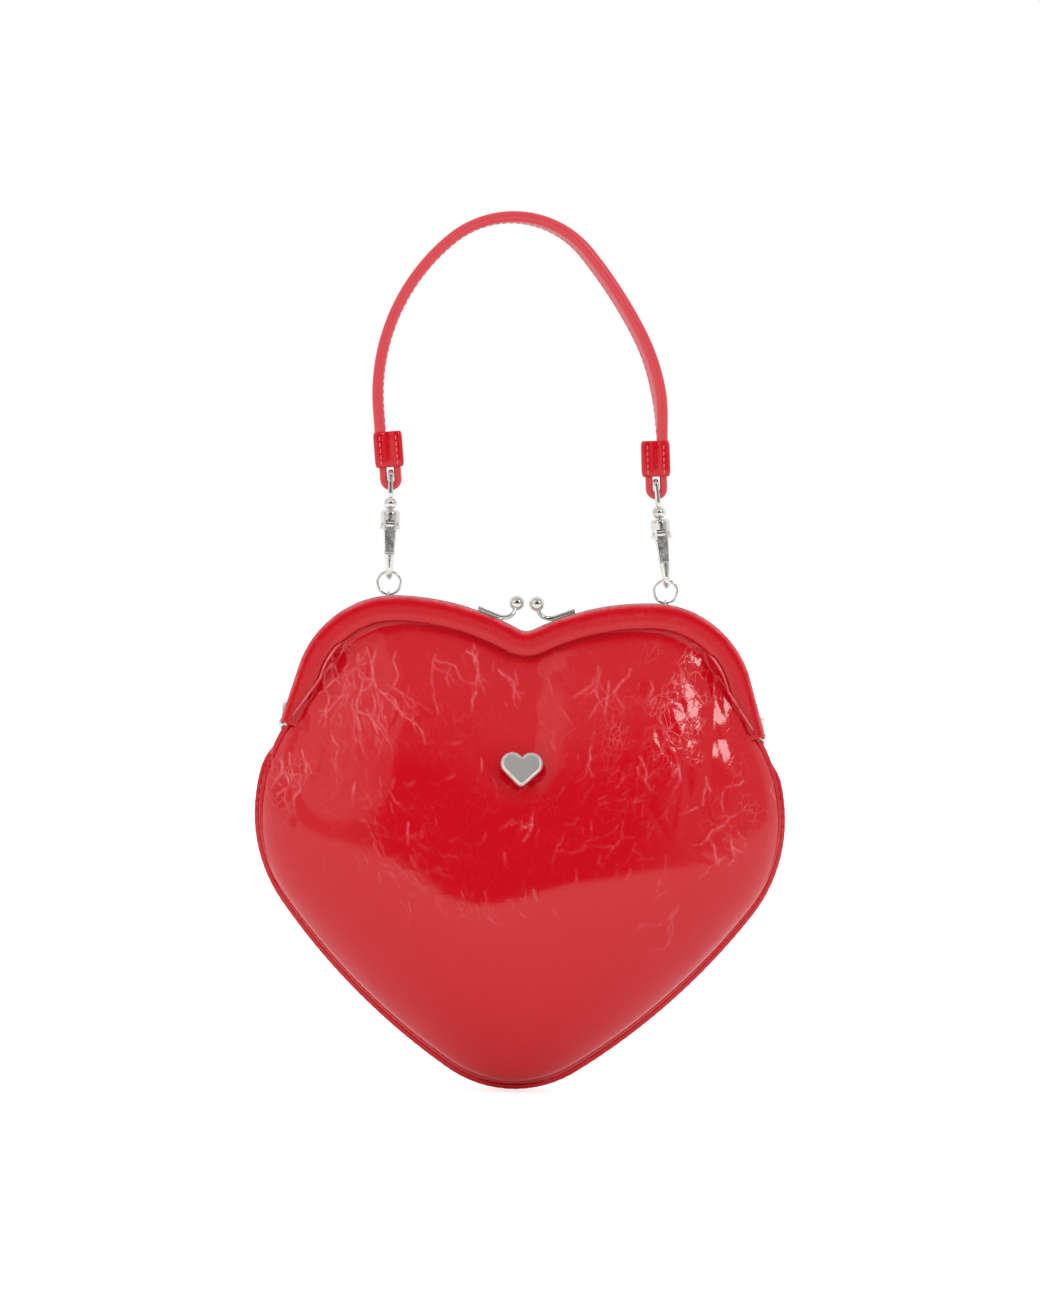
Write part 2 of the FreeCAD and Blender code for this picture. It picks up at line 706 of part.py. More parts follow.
def make_gate(name):
    """Sprung lever that closes the mouth of the hook, on a knuckle inside the head's slot."""
    frame = CLIPS[name]
    half = size("knuckle_width") / 2
    far = gate_near - size("gate_thickness")
    neck = block(name + "_gate_neck", frame, (-half, half), (far, gate_near), (head_base - 1.5, pivot_height))
    knuckle = primitive("Cylinder", name + "_gate_knuckle",
                        frame.multiply(at(-half, pivot_depth, pivot_height, ALONG_X)),
                        Radius="Sizes.knuckle_radius", Height="Sizes.knuckle_width")
    hole = primitive("Cylinder", name + "_gate_hole",
                     frame.multiply(at(-half - 1, pivot_depth, pivot_height, ALONG_X)))
    hole.Radius = size("gate_pin_diameter") / 2 + 0.06
    hole.Height = size("knuckle_width") + 2
    lever = fuse(name + "_gate_union", make_gate_leaf(name), neck, knuckle)
    finish(name + "_gate", cut(name + "_gate_cut", lever, hole))


def make_gate_pin(name):
    """Cross pin that the gate turns on, flush with the sides of the head."""
    place = CLIPS[name].multiply(at(-pin_half, pivot_depth, pivot_height, ALONG_X))
    pin = primitive("Cylinder", name + "_pin", place, Radius="Sizes.gate_pin_diameter / 2")
    pin.Height = 2 * pin_half
    finish(name + "_gate_pin", pin)


def make_gate_spring(name):
    """Leaf spring from under the head, beside the spine, down to the back of the gate."""
    reach = bar_near - gate_near - 0.4
    fall = size("spring_fall")
    slope = math.degrees(math.atan2(reach, fall))
    length = math.hypot(reach, fall)
    tilt = Rotation(Vector(1, 0, 0), -slope)
    place = CLIPS[name].multiply(at(-0.8, bar_near - 0.15, head_base - 0.35, tilt))
    spring = doc.addObject("Part::Box", name + "_spring_leaf")
    spring.Length = 1.6
    spring.Width = 0.25
    spring.Height = length - 0.4
    spring.Placement = place.multiply(at(0, -0.25, -length + 0.2))
    finish(name + "_gate_spring", spring)


def make_ring(name, side):
    """Wire ring that links a snap hook to the frame."""
    place = HANDLE.multiply(at(side * size("ring_side"), 0, ring_middle, ALONG_Y))
    finish(name + "_ring", primitive("Torus", name + "_ring_wire", place, Radius1="Sizes.ring_radius",
                                     Radius2="Sizes.ring_wire / 2"))


def make_ring_staple(name, side):
    """Small wire staple soldered to the back half of the frame, round the foot of a ring."""
    radius = size("ring_wire") / 2 + size("ring_play") + size("staple_wire") / 2
    place = at(side * size("ring_side"), size("ring_setback"), ring_base)
    upper = axes((0, 1, 0), (0, 0, 1), (1, 0, 0))
    bow = primitive("Torus", name + "_bow", PURSE.multiply(place).multiply(at(0, 0, 0, upper)),
                    Radius2="Sizes.staple_wire / 2")
    bow.Radius1 = radius
    bow.Angle3 = 180
    legs = []
    height = ring_base - frame_top(size("ring_side")) - 0.05
    for which, reach in (("near", -radius), ("far", radius)):
        leg = primitive("Cylinder", name + "_" + which + "_leg",
                        PURSE.multiply(place).multiply(at(0, reach, -height)), Radius="Sizes.staple_wire / 2")
        leg.Height = height
        legs.append(leg)
    finish(name + "_ring_staple", fuse(name + "_staple_union", bow, *legs))


def swept_half(label, profile_points, stop):
    """Body swept along the frame's top line and mirrored to both sides."""
    body = doc.addObject("PartDesign::Body", label + "_body")
    path = body_sketch(body, label + "_route", "XZ_Plane", frame_line(0.0, stop))
    start = dip_centre[1] - size("dip_radius")
    outline = polygon([(depth, start + rise) for depth, rise in profile_points])
    profile = body_sketch(body, label + "_section", "YZ_Plane", outline)
    doc.recompute()
    pipe = body.newObject("PartDesign::AdditivePipe", label + "_sweep")
    pipe.Profile = profile
    pipe.Spine = path
    doc.recompute()
    planes = {feature.Role: feature for feature in body.Origin.OriginFeatures}
    mirrored = body.newObject("PartDesign::Mirrored", label + "_mirror")
    mirrored.Originals = [pipe]
    mirrored.MirrorPlane = (planes["YZ_Plane"], [""])
    body.Tip = mirrored
    body.Placement = PURSE
    return body


near_wall = size("frame_gap") / 2
far_wall = near_wall + size("frame_depth")
frame_stop = -size("hinge_drop") + size("frame_end")
front_ear = hinge[0] - 2.6
back_ear = front_ear + size("ear_thickness") + 0.06


def make_frame(name, side):
    """U-channel frame half with a flat ear at each end for the hinge rivet."""
    wall = size("channel_wall")
    low = -size("channel_height")
    section = [(near_wall, 0), (far_wall, 0), (far_wall, low), (far_wall - wall, low),
               (far_wall - wall, -wall), (near_wall + wall, -wall), (near_wall + wall, low), (near_wall, low)]
    channel = swept_half(name + "_channel", [(side * depth, rise) for depth, rise in section], frame_stop)
    parts = [channel]
    holes = []
    ear_start = front_ear if side < 0 else back_ear
    bridge_start = ear_start if side < 0 else front_ear + 0.3
    ear_stop = ear_start + size("ear_thickness")
    arm_depth = sorted((side * (near_wall + 0.3), side * (far_wall - 0.3)))
    for end, way in SIDES:
        disc = primitive("Cylinder", name + "_" + end + "_ear",
                         PURSE.multiply(at(min(way * ear_start, way * ear_stop), 0, hinge[1], ALONG_X)),
                         Radius="Sizes.ear_radius", Height="Sizes.ear_thickness")
        span = sorted((way * ear_start, way * ear_stop))
        arm = block(name + "_" + end + "_ear_arm", PURSE, span, arm_depth, (hinge[1] - 0.5, hinge[1] + 7.5))
        bridge_span = sorted((way * bridge_start, way * ear_stop))
        bridge = block(name + "_" + end + "_ear_bridge", PURSE, bridge_span, arm_depth,
                       (frame_stop + 0.1, hinge[1] + 7.5))
        web_depth = sorted((0.0, arm_depth[0] if side > 0 else arm_depth[1]))
        web = block(name + "_" + end + "_ear_web", PURSE, span, (web_depth[0] - 0.2, web_depth[1] + 0.2),
                    (hinge[1] - 0.5, hinge[1] + 2.8))
        parts.extend([disc, arm, bridge, web])
        hole_start = min(way * (ear_start - 1), way * (ear_stop + 1))
        hole = primitive("Cylinder", name + "_" + end + "_ear_hole",
                         PURSE.multiply(at(hole_start, 0, hinge[1], ALONG_X)))
        hole.Radius = size("rivet_diameter") / 2 + (0.06 if side < 0 else 0.02)
        hole.Height = size("ear_thickness") + 2
        holes.append(hole)
    solid = fuse(name + "_frame_union", *parts)
    finish(name + "_frame", cut(name + "_frame_cut", solid, fuse(name + "_frame_holes", *holes)))


def make_frame_facing(name, side):
    """Leather band glued over the outside of a frame half, its lower edge turned in."""
    back = far_wall + 0.06
    face = back + size("facing_thickness")
    low = -size("band_height")
    lip = low + size("facing_thickness")
    section = [(back, -0.4), (face - 0.5, -0.4), (face, -0.9), (face, low + 0.6), (face - 0.6, low),
               (back - size("facing_lip"), low), (back - size("facing_lip"), lip), (back, lip)]
    band = swept_half(name + "_facing", [(side * depth, rise) for depth, rise in section], frame_stop + 1.0)
    finish(name + "_frame_facing", band)


def make_frame_cord(name, side):
    """Paper cord pressed into the channel to grip the edge of the leather."""
    middle = (near_wall + far_wall) / 2
    reach = size("cord_width") / 2
    top = -size("channel_wall") - 0.3
    low = -size("channel_height") + 0.6
    section = [(middle - reach, top), (middle + reach, top), (middle + reach, low), (middle - reach, low)]
    cord = swept_half(name + "_cord", [(side * depth, rise) for depth, rise in section], frame_stop + 1.5)
    finish(name + "_frame_cord", cord)


def make_hinge_rivet(name, side):
    """Domed rivet through both ears, the axis the frame opens on."""
    radius = size("rivet_diameter") / 2
    inside = front_ear - 0.1
    outside = back_ear + size("ear_thickness") + 0.05
    body = doc.addObject("PartDesign::Body", name + "_rivet_body")
    head = size("rivet_head_radius")
    dome = 1.1
    ball = (head ** 2 + dome ** 2) / (2 * dome)
    sweep = math.degrees(math.asin(head / ball))
    outline = [
        line((inside - 0.8, 0), (inside - 0.8, radius + 0.8)),
        line((inside - 0.8, radius + 0.8), (inside, radius + 0.8)),
        line((inside, radius + 0.8), (inside, radius)),
        line((inside, radius), (outside, radius)),
        line((outside, radius), (outside, head)),
        arc(outside + dome - ball, 0, ball, 0, sweep),
        line((outside + dome, 0), (inside - 0.8, 0)),
    ]
    sketch = body_sketch(body, name + "_rivet_outline", "XY_Plane", outline)
    turn = body.newObject("PartDesign::Revolution", name + "_rivet_turn")
    turn.Profile = sketch
    turn.ReferenceAxis = (sketch, ["H_Axis"])
    turn.Angle = 360
    facing = UNTURNED if side > 0 else Rotation(Vector(0, 0, 1), 180)
    body.Placement = PURSE.multiply(at(0, 0, hinge[1], facing))
    finish(name + "_hinge_rivet", body)


def clasp_frame(side):
    """Local frame of a clasp arm: X along its foot on the frame, towards the middle."""
    way = -1 if side < 0 else 1
    root = size("arm_root_side")
    inward = root - size("arm_foot")
    fall = frame_top(root) - frame_top(inward)
    slope = math.degrees(math.atan2(fall, size("arm_foot")))
    lift = frame_top(root) + (size("arm_radius") + 0.15) / math.cos(math.radians(slope))
    middle = side * (near_wall + far_wall) / 2
    heading = UNTURNED if way < 0 else Rotation(Vector(0, 0, 1), 180)
    drop = Rotation(Vector(0, 1, 0), slope)
    lean = Rotation(Vector(1, 0, 0), -size("arm_lean"))
    foot = PURSE.multiply(at(way * root, middle, lift, heading))
    return foot.multiply(at(0, 0, 0, drop)).multiply(at(0, 0, 0, lean))


def make_clasp(name, side):
    """Bent wire arm on a frame half and the ball on its end; the two balls snap past each other."""
    frame = clasp_frame(side)
    foot = size("arm_foot")
    bend = size("arm_bend_radius")
    turn = 95.0
    arc_end = polar((foot, bend), bend, turn - 90)
    ahead = (math.cos(math.radians(turn)), math.sin(math.radians(turn)))
    ball_gap = size("ball_radius") - 0.15
    tip_gap = ball_gap - 1.7
    ball_at = (arc_end[0] + ball_gap * ahead[0], arc_end[1] + ball_gap * ahead[1])
    tip = (ball_at[0] - tip_gap * ahead[0], ball_at[1] - tip_gap * ahead[1])
    route = [line((0, 0), (foot, 0)), arc(foot, bend, bend, -90, turn - 90), line(arc_end, tip)]
    path = drawing(name + "_arm_route", frame.multiply(at(0, 0, 0, UPRIGHT)), route)
    circle = Part.Circle(Vector(0, 0, 0), Vector(0, 0, 1), size("arm_radius"))
    profile = drawing(name + "_arm_section", frame.multiply(at(0, 0, 0, ALONG_X)), [circle])
    doc.recompute()
    arm = doc.addObject("Part::Sweep", name + "_arm")
    arm.Sections = [profile]
    arm.Spine = (path, ["Edge1", "Edge2", "Edge3"])
    arm.Solid = True
    finish(name + "_clasp_arm", arm)
    ball_frame = frame.multiply(at(ball_at[0], 0, ball_at[1], Rotation(Vector(0, 1, 0), 90 - turn)))
    ball = primitive("Sphere", name + "_ball", ball_frame, Radius="Sizes.ball_radius")
    socket_foot = at(0, 0, -size("ball_radius") - 1)
    socket = primitive("Cylinder", name + "_ball_socket", ball_frame.multiply(socket_foot))
    socket.Radius = size("arm_radius") + 0.03
    socket.Height = size("ball_radius") + 1 - tip_gap + 0.1
    finish(name + "_clasp_ball", cut(name + "_ball_cut", ball, socket))


def shell_width(height):
    """Half width of a panel: inside the frame above the hinges, inside the piping below them."""
    inside_frame = size("band_height") + 0.6
    flare_top = hinge[1] - 0.5
    flare_end = hinge[1] - 0.3 * neck_rise
    if height >= flare_top:
        return frame_side(min(height, -0.23 * size("hinge_drop")), inside_frame)
    below = body_side(height, 2 * size("piping_radius") + size("seam_gap"))
    if height <= flare_end:
        return below
    share = (flare_top - height) / (flare_top - flare_end)
    share = share * share * (3 - 2 * share)
    return (1 - share) * frame_side(height, inside_frame) + share * below


def shell_levels(low):
    """Heights of a panel's sections, from over the lobes past the hinges and the widest part to the tip."""
    spans = [
        (0.0, hinge[1], (0.12, 0.4, 0.69, 0.94)),
        (hinge[1], -size("widest_drop"), (0.16, 0.32, 0.61, 1.0)),
        (-size("widest_drop"), -size("fullest_drop"), (1.0,)),
        (-size("fullest_drop"), low, (0.23, 0.46, 0.67, 0.78, 0.89, 0.955, 0.995)),
    ]
    levels = [size("lobe_top_rise") + 1.0]
    for start, stop, shares in spans:
        levels += [start + share * (stop - start) for share in shares]
    return levels


def shell(name, side, inset, thickness):
    """Half pillow lofted through level half-ellipse sections, from the lobes to the tip."""
    low = -size("tip_drop") + 2 * size("piping_radius") + size("seam_gap") + inset
    turn = 180 if side < 0 else 0
    sections = []
    for number, height in enumerate(shell_levels(low)):
        blend = min(max((height - hinge[1]) / (0.3 * neck_rise) + 1.0, 0.0), 1.0)
        edge = side * (size("seam_gap") + 0.2 + 2.4 * blend)
        wide = shell_width(height) - inset
        deep = max(body_depth_at(height) - inset - abs(edge), thickness + 0.6)
        curves = []
        for skin in (0.0, thickness):
            ellipse, first = oval(wide - skin, deep - skin, edge)
            start = math.radians(first + turn)
            curves.append(Part.ArcOfEllipse(ellipse, start, start + math.pi))
        rim = [line((way * wide, edge), (way * (wide - thickness), edge)) for way in (1, -1)]
        outline = [curves[0], rim[0], curves[1], rim[1]]
        sections.append(drawing("%s_level_%d" % (name, number), PURSE.multiply(at(0, 0, height)), outline))
    doc.recompute()
    loft = doc.addObject("Part::Loft", name + "_loft")
    loft.Sections = sections
    loft.Solid = True
    loft.Ruled = False
    return loft


def outside():
    """Side, depth and height of a block that reaches past the whole purse."""
    return 1.3 * size("body_half_width"), 1.7 * size("body_depth"), 1.3 * size("hinge_drop")


def frame_zone(name):
    """Everything above the lower edge of the frame's band, to trim the panels to."""
    depth = size("band_height") + 0.35
    stop = frame_stop
    edge = frame_side(stop, depth)
    far, deep, high = outside()
    outline = frame_line(depth, stop) + frame_line(depth, stop, -1)
    corners = [(edge, stop), (far, stop), (far, high), (-far, high), (-far, stop), (-edge, stop)]
    outline += [line(here, there) for here, there in zip(corners, corners[1:])]
    sketch = drawing(name + "_outline", PURSE.multiply(at(0, 0, 0, UPRIGHT)), outline)
    doc.recompute()
    zone = doc.addObject("Part::Extrusion", name)
    zone.Base = sketch
    zone.DirMode = "Custom"
    zone.Dir = Vector(0, 1, 0)
    zone.LengthFwd = deep
    zone.LengthRev = deep
    zone.Solid = True
    return zone


def mouth_zone(name, gap):
    """Room that the opening front half turns through: an ellipsoid about the hinge axis."""
    zone = doc.addObject("Part::Ellipsoid", name)
    zone.Radius1 = size("mouth_radius") + gap
    zone.Radius2 = hinge[0] + 1.2 + gap
    zone.Radius3 = size("mouth_radius") + gap
    zone.Placement = PURSE.multiply(at(0, 0, hinge[1]))
    return zone


def upper_zone(name):
    """Part of the front that swings with the frame."""
    far, deep, high = outside()
    side = hinge[0] - size("mouth_end_inset")
    above = block(name + "_above", PURSE, (-far, far), (-deep, deep), (hinge[1], high))
    inside = block(name + "_inside", PURSE, (-side, side), (-deep, deep), (-size("tip_drop"), hinge[1] + 1))
    lip = common(name + "_lip", mouth_zone(name + "_mouth", 0.0), inside)
    return fuse(name, above, lip)


def lower_cut(name):
    """Room kept clear of the lower front for the swinging half."""
    far, deep, high = outside()
    above = block(name + "_above", PURSE, (-far, far), (-deep, deep), (hinge[1] - 0.3, high))
    ends = primitive("Cylinder", name + "_ends", PURSE.multiply(at(-far, 0, hinge[1], ALONG_X)),
                     Radius="Sizes.hinge_room")
    ends.Height = 2 * far
    return fuse(name, above, ends, mouth_zone(name + "_mouth", 0.3))


def stud_frame():
    """Local frame of the heart stud: +Z straight out of the front panel."""
    height = -size("stud_drop")
    slope = (body_depth_at(height - 0.5) - body_depth_at(height + 0.5))
    tilt = math.degrees(math.atan(slope))
    facing = Rotation(Vector(1, 0, 0), 90 - tilt)
    return PURSE.multiply(at(0, -body_depth_at(height), height, facing))


def make_panels():
    """Front panel, split where the frame swings, back panel, and the linings behind them."""
    leather = ("panel", 0.0, size("leather_thickness"))
    cloth = ("lining", size("lining_inset"), size("lining_thickness"))
    for name, inset, thickness in (leather, cloth):
        front = shell("front_" + name, -1, inset, thickness)
        back = shell("back_" + name, 1, inset, thickness)
        trimmed = cut("front_%s_trim" % name, front, frame_zone("front_%s_band" % name))
        upper = common("front_%s_swing" % name, trimmed, upper_zone("front_%s_room_above" % name))
        lower = cut("front_%s_fixed" % name, front, lower_cut("front_%s_room_below" % name))
        if name == "panel":
            hole = primitive("Cylinder", "stud_hole", stud_frame().multiply(at(0, 0, -4)))
            hole.Radius = size("stud_post_radius") + 0.15
            hole.Height = 8
            lower = cut("front_panel_pierced", lower, hole)
        finish("front_%s_upper" % name, upper)
        finish("front_%s_lower" % name, lower)
        finish("back_%s" % name, cut("back_%s_trim" % name, back, frame_zone("back_%s_band" % name)))


def make_piping():
    """Leather covered cord sewn into the seam, from hinge to hinge round the tip."""
    inset = size("piping_radius")
    shoulder = size("shoulder_radius") - inset
    flank = size("flank_radius") - inset
    tip = size("tip_radius") - inset
    neck = neck_radius - inset
    top_angle = math.degrees(math.asin(0.84 * neck_rise / neck))
    body = doc.addObject("PartDesign::Body", "piping_body")
    route = [
        arc(0, tip_centre[1], tip, -90, flank_low_angle),
        arc(flank_centre[0], flank_centre[1], flank, flank_low_angle, flank_top_angle),
        arc(shoulder_centre[0], shoulder_centre[1], shoulder, flank_top_angle, 0),
        arc(neck_centre[0], neck_centre[1], neck, 0, top_angle),
    ]
    path = body_sketch(body, "piping_route", "XZ_Plane", route)
    middle = Vector(0, -size("tip_drop") + inset, 0)
    profile = body_sketch(body, "piping_section", "YZ_Plane", [Part.Circle(middle, Vector(0, 0, 1), inset)])
    profile.addConstraint(Sketcher.Constraint("Radius", 0, inset))
    profile.setExpression("Constraints[0]", "Sizes.piping_radius")
    doc.recompute()
    pipe = body.newObject("PartDesign::AdditivePipe", "piping_sweep")
    pipe.Profile = profile
    pipe.Spine = path
    doc.recompute()
    planes = {feature.Role: feature for feature in body.Origin.OriginFeatures}
    mirrored = body.newObject("PartDesign::Mirrored", "piping_mirror")
    mirrored.Originals = [pipe]
    mirrored.MirrorPlane = (planes["YZ_Plane"], [""])
    body.Tip = mirrored
    body.Placement = PURSE
    finish("piping", body)


def make_stud():
    """Plain puffed heart stud with its post, riveted through the panel on a washer."""
    frame = stud_frame()
    lobe = size("stud_lobe_radius")
    centre = 0.8 * lobe
    slant = 45.0
    tip = 0.5 * lobe
    crease = math.degrees(math.acos(-centre / lobe))
    touch = polar((centre, 0), lobe, -slant)
    foot = polar((0, 0), tip, -slant)
    low = touch[1] - (touch[0] - foot[0]) - foot[1]
    outline = [
        arc(centre, 0, lobe, -slant, crease),
        line(touch, (foot[0], low + foot[1])),
        arc(0, low, tip, 180 + slant, 360 - slant),
        line((-foot[0], low + foot[1]), (-touch[0], touch[1])),
        arc(centre, 0, lobe, -slant, crease, -1),
    ]
    body = doc.addObject("PartDesign::Body", "stud_body")
    sketch = body_sketch(body, "stud_outline", "XY_Plane", outline)
    pad = body.newObject("PartDesign::Pad", "stud_pad")
    pad.Profile = sketch
    pad.setExpression("Length", "Sizes.stud_thickness")
    doc.recompute()
    face = size("stud_thickness") - 0.01
    round_edges(body, pad, "stud_puff", lambda bounds: bounds.ZMin > face, "Sizes.stud_thickness * 0.7")
    body.Placement = frame.multiply(at(0, lobe * 0.5, 0.2))
    post = primitive("Cylinder", "stud_post", frame.multiply(at(0, 0, 0)), Radius="Sizes.stud_post_radius")
    depth = size("leather_thickness") + 0.25 + size("washer_thickness") + 0.15
    post.Height = depth + 1.0
    post.Placement = frame.multiply(at(0, 0, -depth))
    finish("heart_stud", fuse("stud_union", body, post))
    top = -size("leather_thickness") - 0.25
    plate = primitive("Cylinder", "washer_plate", frame.multiply(at(0, 0, top - size("washer_thickness"))),
                      Radius="Sizes.washer_radius", Height="Sizes.washer_thickness")
    hole = primitive("Cylinder", "washer_hole", frame.multiply(at(0, 0, top - size("washer_thickness") - 1)))
    hole.Radius = size("stud_post_radius") + 0.03
    hole.Height = size("washer_thickness") + 2
    finish("stud_washer", cut("washer_cut", plate, hole))


make_handle_strap()
for side_name, side_sign in SIDES:
    make_keeper(side_name)
    make_swivel_eye(side_name)
    make_hook(side_name)
    make_gate(side_name)
    make_gate_pin(side_name)
    make_gate_spring(side_name)
    make_ring(side_name, side_sign)
    make_ring_staple(side_name, side_sign)
    make_hinge_rivet(side_name, side_sign)
for half_name, half_sign in HALVES:
    make_frame(half_name, half_sign)
    make_frame_facing(half_name, half_sign)
    make_frame_cord(half_name, half_sign)
    make_clasp(half_name, half_sign)
make_panels()
make_piping()
make_stud()

doc.recompute()
for item in doc.Objects:
    if "Invalid" in item.State or "Error" in item.State:
        raise RuntimeError("%s did not build: %s" % (item.Name, item.State))
os.makedirs("parts", exist_ok=True)
for piece in pieces:
    shape = piece.Shape
    if shape.isNull() or not shape.isValid():
        raise RuntimeError("%s has no valid shape" % piece.Label)
    shape.exportStep("parts/%s.step" % piece.Label)
print("%d sub-parts written" % len(pieces))
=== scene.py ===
import math

import bpy
import numpy as np
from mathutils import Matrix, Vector


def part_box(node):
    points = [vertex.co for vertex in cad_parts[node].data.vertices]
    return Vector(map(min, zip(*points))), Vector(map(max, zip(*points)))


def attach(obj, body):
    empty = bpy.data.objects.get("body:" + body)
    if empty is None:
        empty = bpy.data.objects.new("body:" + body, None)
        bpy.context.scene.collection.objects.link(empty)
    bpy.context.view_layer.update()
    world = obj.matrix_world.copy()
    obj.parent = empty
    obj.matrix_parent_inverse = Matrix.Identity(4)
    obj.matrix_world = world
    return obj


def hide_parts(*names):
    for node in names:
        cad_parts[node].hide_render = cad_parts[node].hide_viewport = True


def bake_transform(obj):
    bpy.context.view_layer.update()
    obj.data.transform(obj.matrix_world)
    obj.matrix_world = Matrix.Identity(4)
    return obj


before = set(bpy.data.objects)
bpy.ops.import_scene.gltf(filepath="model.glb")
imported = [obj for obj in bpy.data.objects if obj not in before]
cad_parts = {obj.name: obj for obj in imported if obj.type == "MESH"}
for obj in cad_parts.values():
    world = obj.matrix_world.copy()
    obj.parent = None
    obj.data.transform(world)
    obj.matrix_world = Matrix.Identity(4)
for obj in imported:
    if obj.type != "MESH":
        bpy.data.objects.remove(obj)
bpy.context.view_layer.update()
MM = 0.001

# Metal fittings: frame halves, clasp, rings, staples, rivets, snap hooks and the stud. They are cast or
# bent in brass and zinc, then nickel plated and polished, the stud to a softer satin. They keep their solids.
NICKEL_LIGHT = (0.86, 0.845, 0.815)
NICKEL_SHADE = (0.74, 0.725, 0.69)
POLISHED, SATIN = 0.06, 0.36
CLOUD_SCALE, CLOUD_RANGE, CLOUD_DULLNESS = 260.0, (0.42, 0.68), 0.07
FINE_SCALE, FINE_DULLNESS = 2400.0, 0.05
FRAME_PARTS = ("frame", "clasp_arm", "clasp_ball")
SIDE_PARTS = ("ring", "ring_staple", "hinge_rivet", "swivel_eye", "hook", "gate", "gate_pin")
METAL_NODES = ["heart_stud", "stud_washer"]
METAL_NODES += [half + part for half in ("front_", "back_") for part in FRAME_PARTS]
METAL_NODES += [side + part for side in ("left_", "right_") for part in SIDE_PARTS]


def new_group(name, inputs, outputs):
    """Empty shader group with float or vector inputs and float outputs, and its two end nodes."""
    group = bpy.data.node_groups.new(name, "ShaderNodeTree")
    for label, kind, value in inputs:
        socket = group.interface.new_socket(label, in_out="INPUT", socket_type=kind)
        if kind == "NodeSocketFloat":
            socket.default_value = value
    for label in outputs:
        group.interface.new_socket(label, in_out="OUTPUT", socket_type="NodeSocketFloat")
    return group, group.nodes.new("NodeGroupInput"), group.nodes.new("NodeGroupOutput")


def wire(tree, source, target):
    """Links an output socket to an input socket."""
    tree.links.new(source, target)


def noise(tree, place, scale, detail=2.0):
    """Noise texture read at a place, scale in waves per metre."""
    node = tree.nodes.new("ShaderNodeTexNoise")
    node.inputs["Scale"].default_value = scale
    node.inputs["Detail"].default_value = detail
    wire(tree, place, node.inputs["Vector"])
    return node.outputs["Fac"]


def remap(tree, value, low, high, to_low=0.0, to_high=1.0):
    """Value carried smoothly from one range to another."""
    node = tree.nodes.new("ShaderNodeMapRange")
    node.interpolation_type = "SMOOTHSTEP"
    for label, amount in (("From Min", low), ("From Max", high), ("To Min", to_low), ("To Max", to_high)):
        node.inputs[label].default_value = amount
    wire(tree, value, node.inputs["Value"])
    return node.outputs["Result"]


def combine(tree, operation, first, second):
    """Math node on two values; a plain number is set on the socket."""
    node = tree.nodes.new("ShaderNodeMath")
    node.operation = operation
    for socket, value in zip(node.inputs, (first, second)):
        if isinstance(value, (int, float)):
            socket.default_value = value
        else:
            wire(tree, value, socket)
    return node.outputs["Value"]


def new_material(name):
    """Material with its node tree, its Principled shader and its Object coordinates."""
    material = bpy.data.materials.new(name)
    material.use_nodes = True
    tree = material.node_tree
    shader = tree.nodes["Principled BSDF"]
    place = tree.nodes.new("ShaderNodeTexCoord").outputs["Object"]
    return material, tree, shader, place


def two_tones(tree, mask, first, second):
    """Colour between two tones by a mask."""
    node = tree.nodes.new("ShaderNodeMix")
    node.data_type = "RGBA"
    node.inputs["A"].default_value = (*first, 1.0)
    node.inputs["B"].default_value = (*second, 1.0)
    wire(tree, mask, node.inputs["Factor"])
    return node.outputs["Result"]


def add_bump(tree, height, shader, strength, depth):
    """Bump of a depth in metres on the shader's normal."""
    node = tree.nodes.new("ShaderNodeBump")
    node.inputs["Strength"].default_value = strength
    node.inputs["Distance"].default_value = depth
    wire(tree, height, node.inputs["Height"])
    wire(tree, node.outputs["Normal"], shader.inputs["Normal"])


def make_polish_group():
    """Handling marks on polished metal: a cloudy mask, and a roughness that rises in it from a least
    value."""
    inputs = [("Place", "NodeSocketVector", None), ("Dullness", "NodeSocketFloat", POLISHED)]
    group, start, end = new_group("polish_marks", inputs, ["Cloud", "Roughness"])
    cloud = remap(group, noise(group, start.outputs["Place"], CLOUD_SCALE, 3.0), *CLOUD_RANGE)
    fine = noise(group, start.outputs["Place"], FINE_SCALE, 2.0)
    rough = combine(group, "MULTIPLY_ADD", cloud, CLOUD_DULLNESS)
    wire(group, start.outputs["Dullness"], rough.node.inputs[2])
    total = combine(group, "MULTIPLY_ADD", fine, FINE_DULLNESS)
    wire(group, rough, total.node.inputs[2])
    wire(group, cloud, end.inputs["Cloud"])
    wire(group, total, end.inputs["Roughness"])
    return group


def make_nickel(name, dullness):
    """Nickel plate of a least roughness: bright warm grey with faint clouds from handling."""
    material, tree, shader, place = new_material(name)
    marks = tree.nodes.new("ShaderNodeGroup")
    marks.node_tree = polish_group
    marks.inputs["Dullness"].default_value = dullness
    wire(tree, place, marks.inputs["Place"])
    tone = two_tones(tree, marks.outputs["Cloud"], NICKEL_LIGHT, NICKEL_SHADE)
    wire(tree, tone, shader.inputs["Base Color"])
    wire(tree, marks.outputs["Roughness"], shader.inputs["Roughness"])
    shader.inputs["Metallic"].default_value = 1.0
    add_bump(tree, marks.outputs["Cloud"], shader, 0.03, 0.2 * MM)
    return material


polish_group = make_polish_group()
nickel = make_nickel("polished_nickel", POLISHED)
satin_nickel = make_nickel("satin_nickel", SATIN)
for node_name in METAL_NODES:
    metal_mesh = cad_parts[node_name].data
    metal_mesh.materials.clear()
    metal_mesh.materials.append(satin_nickel if node_name == "heart_stud" else nickel)

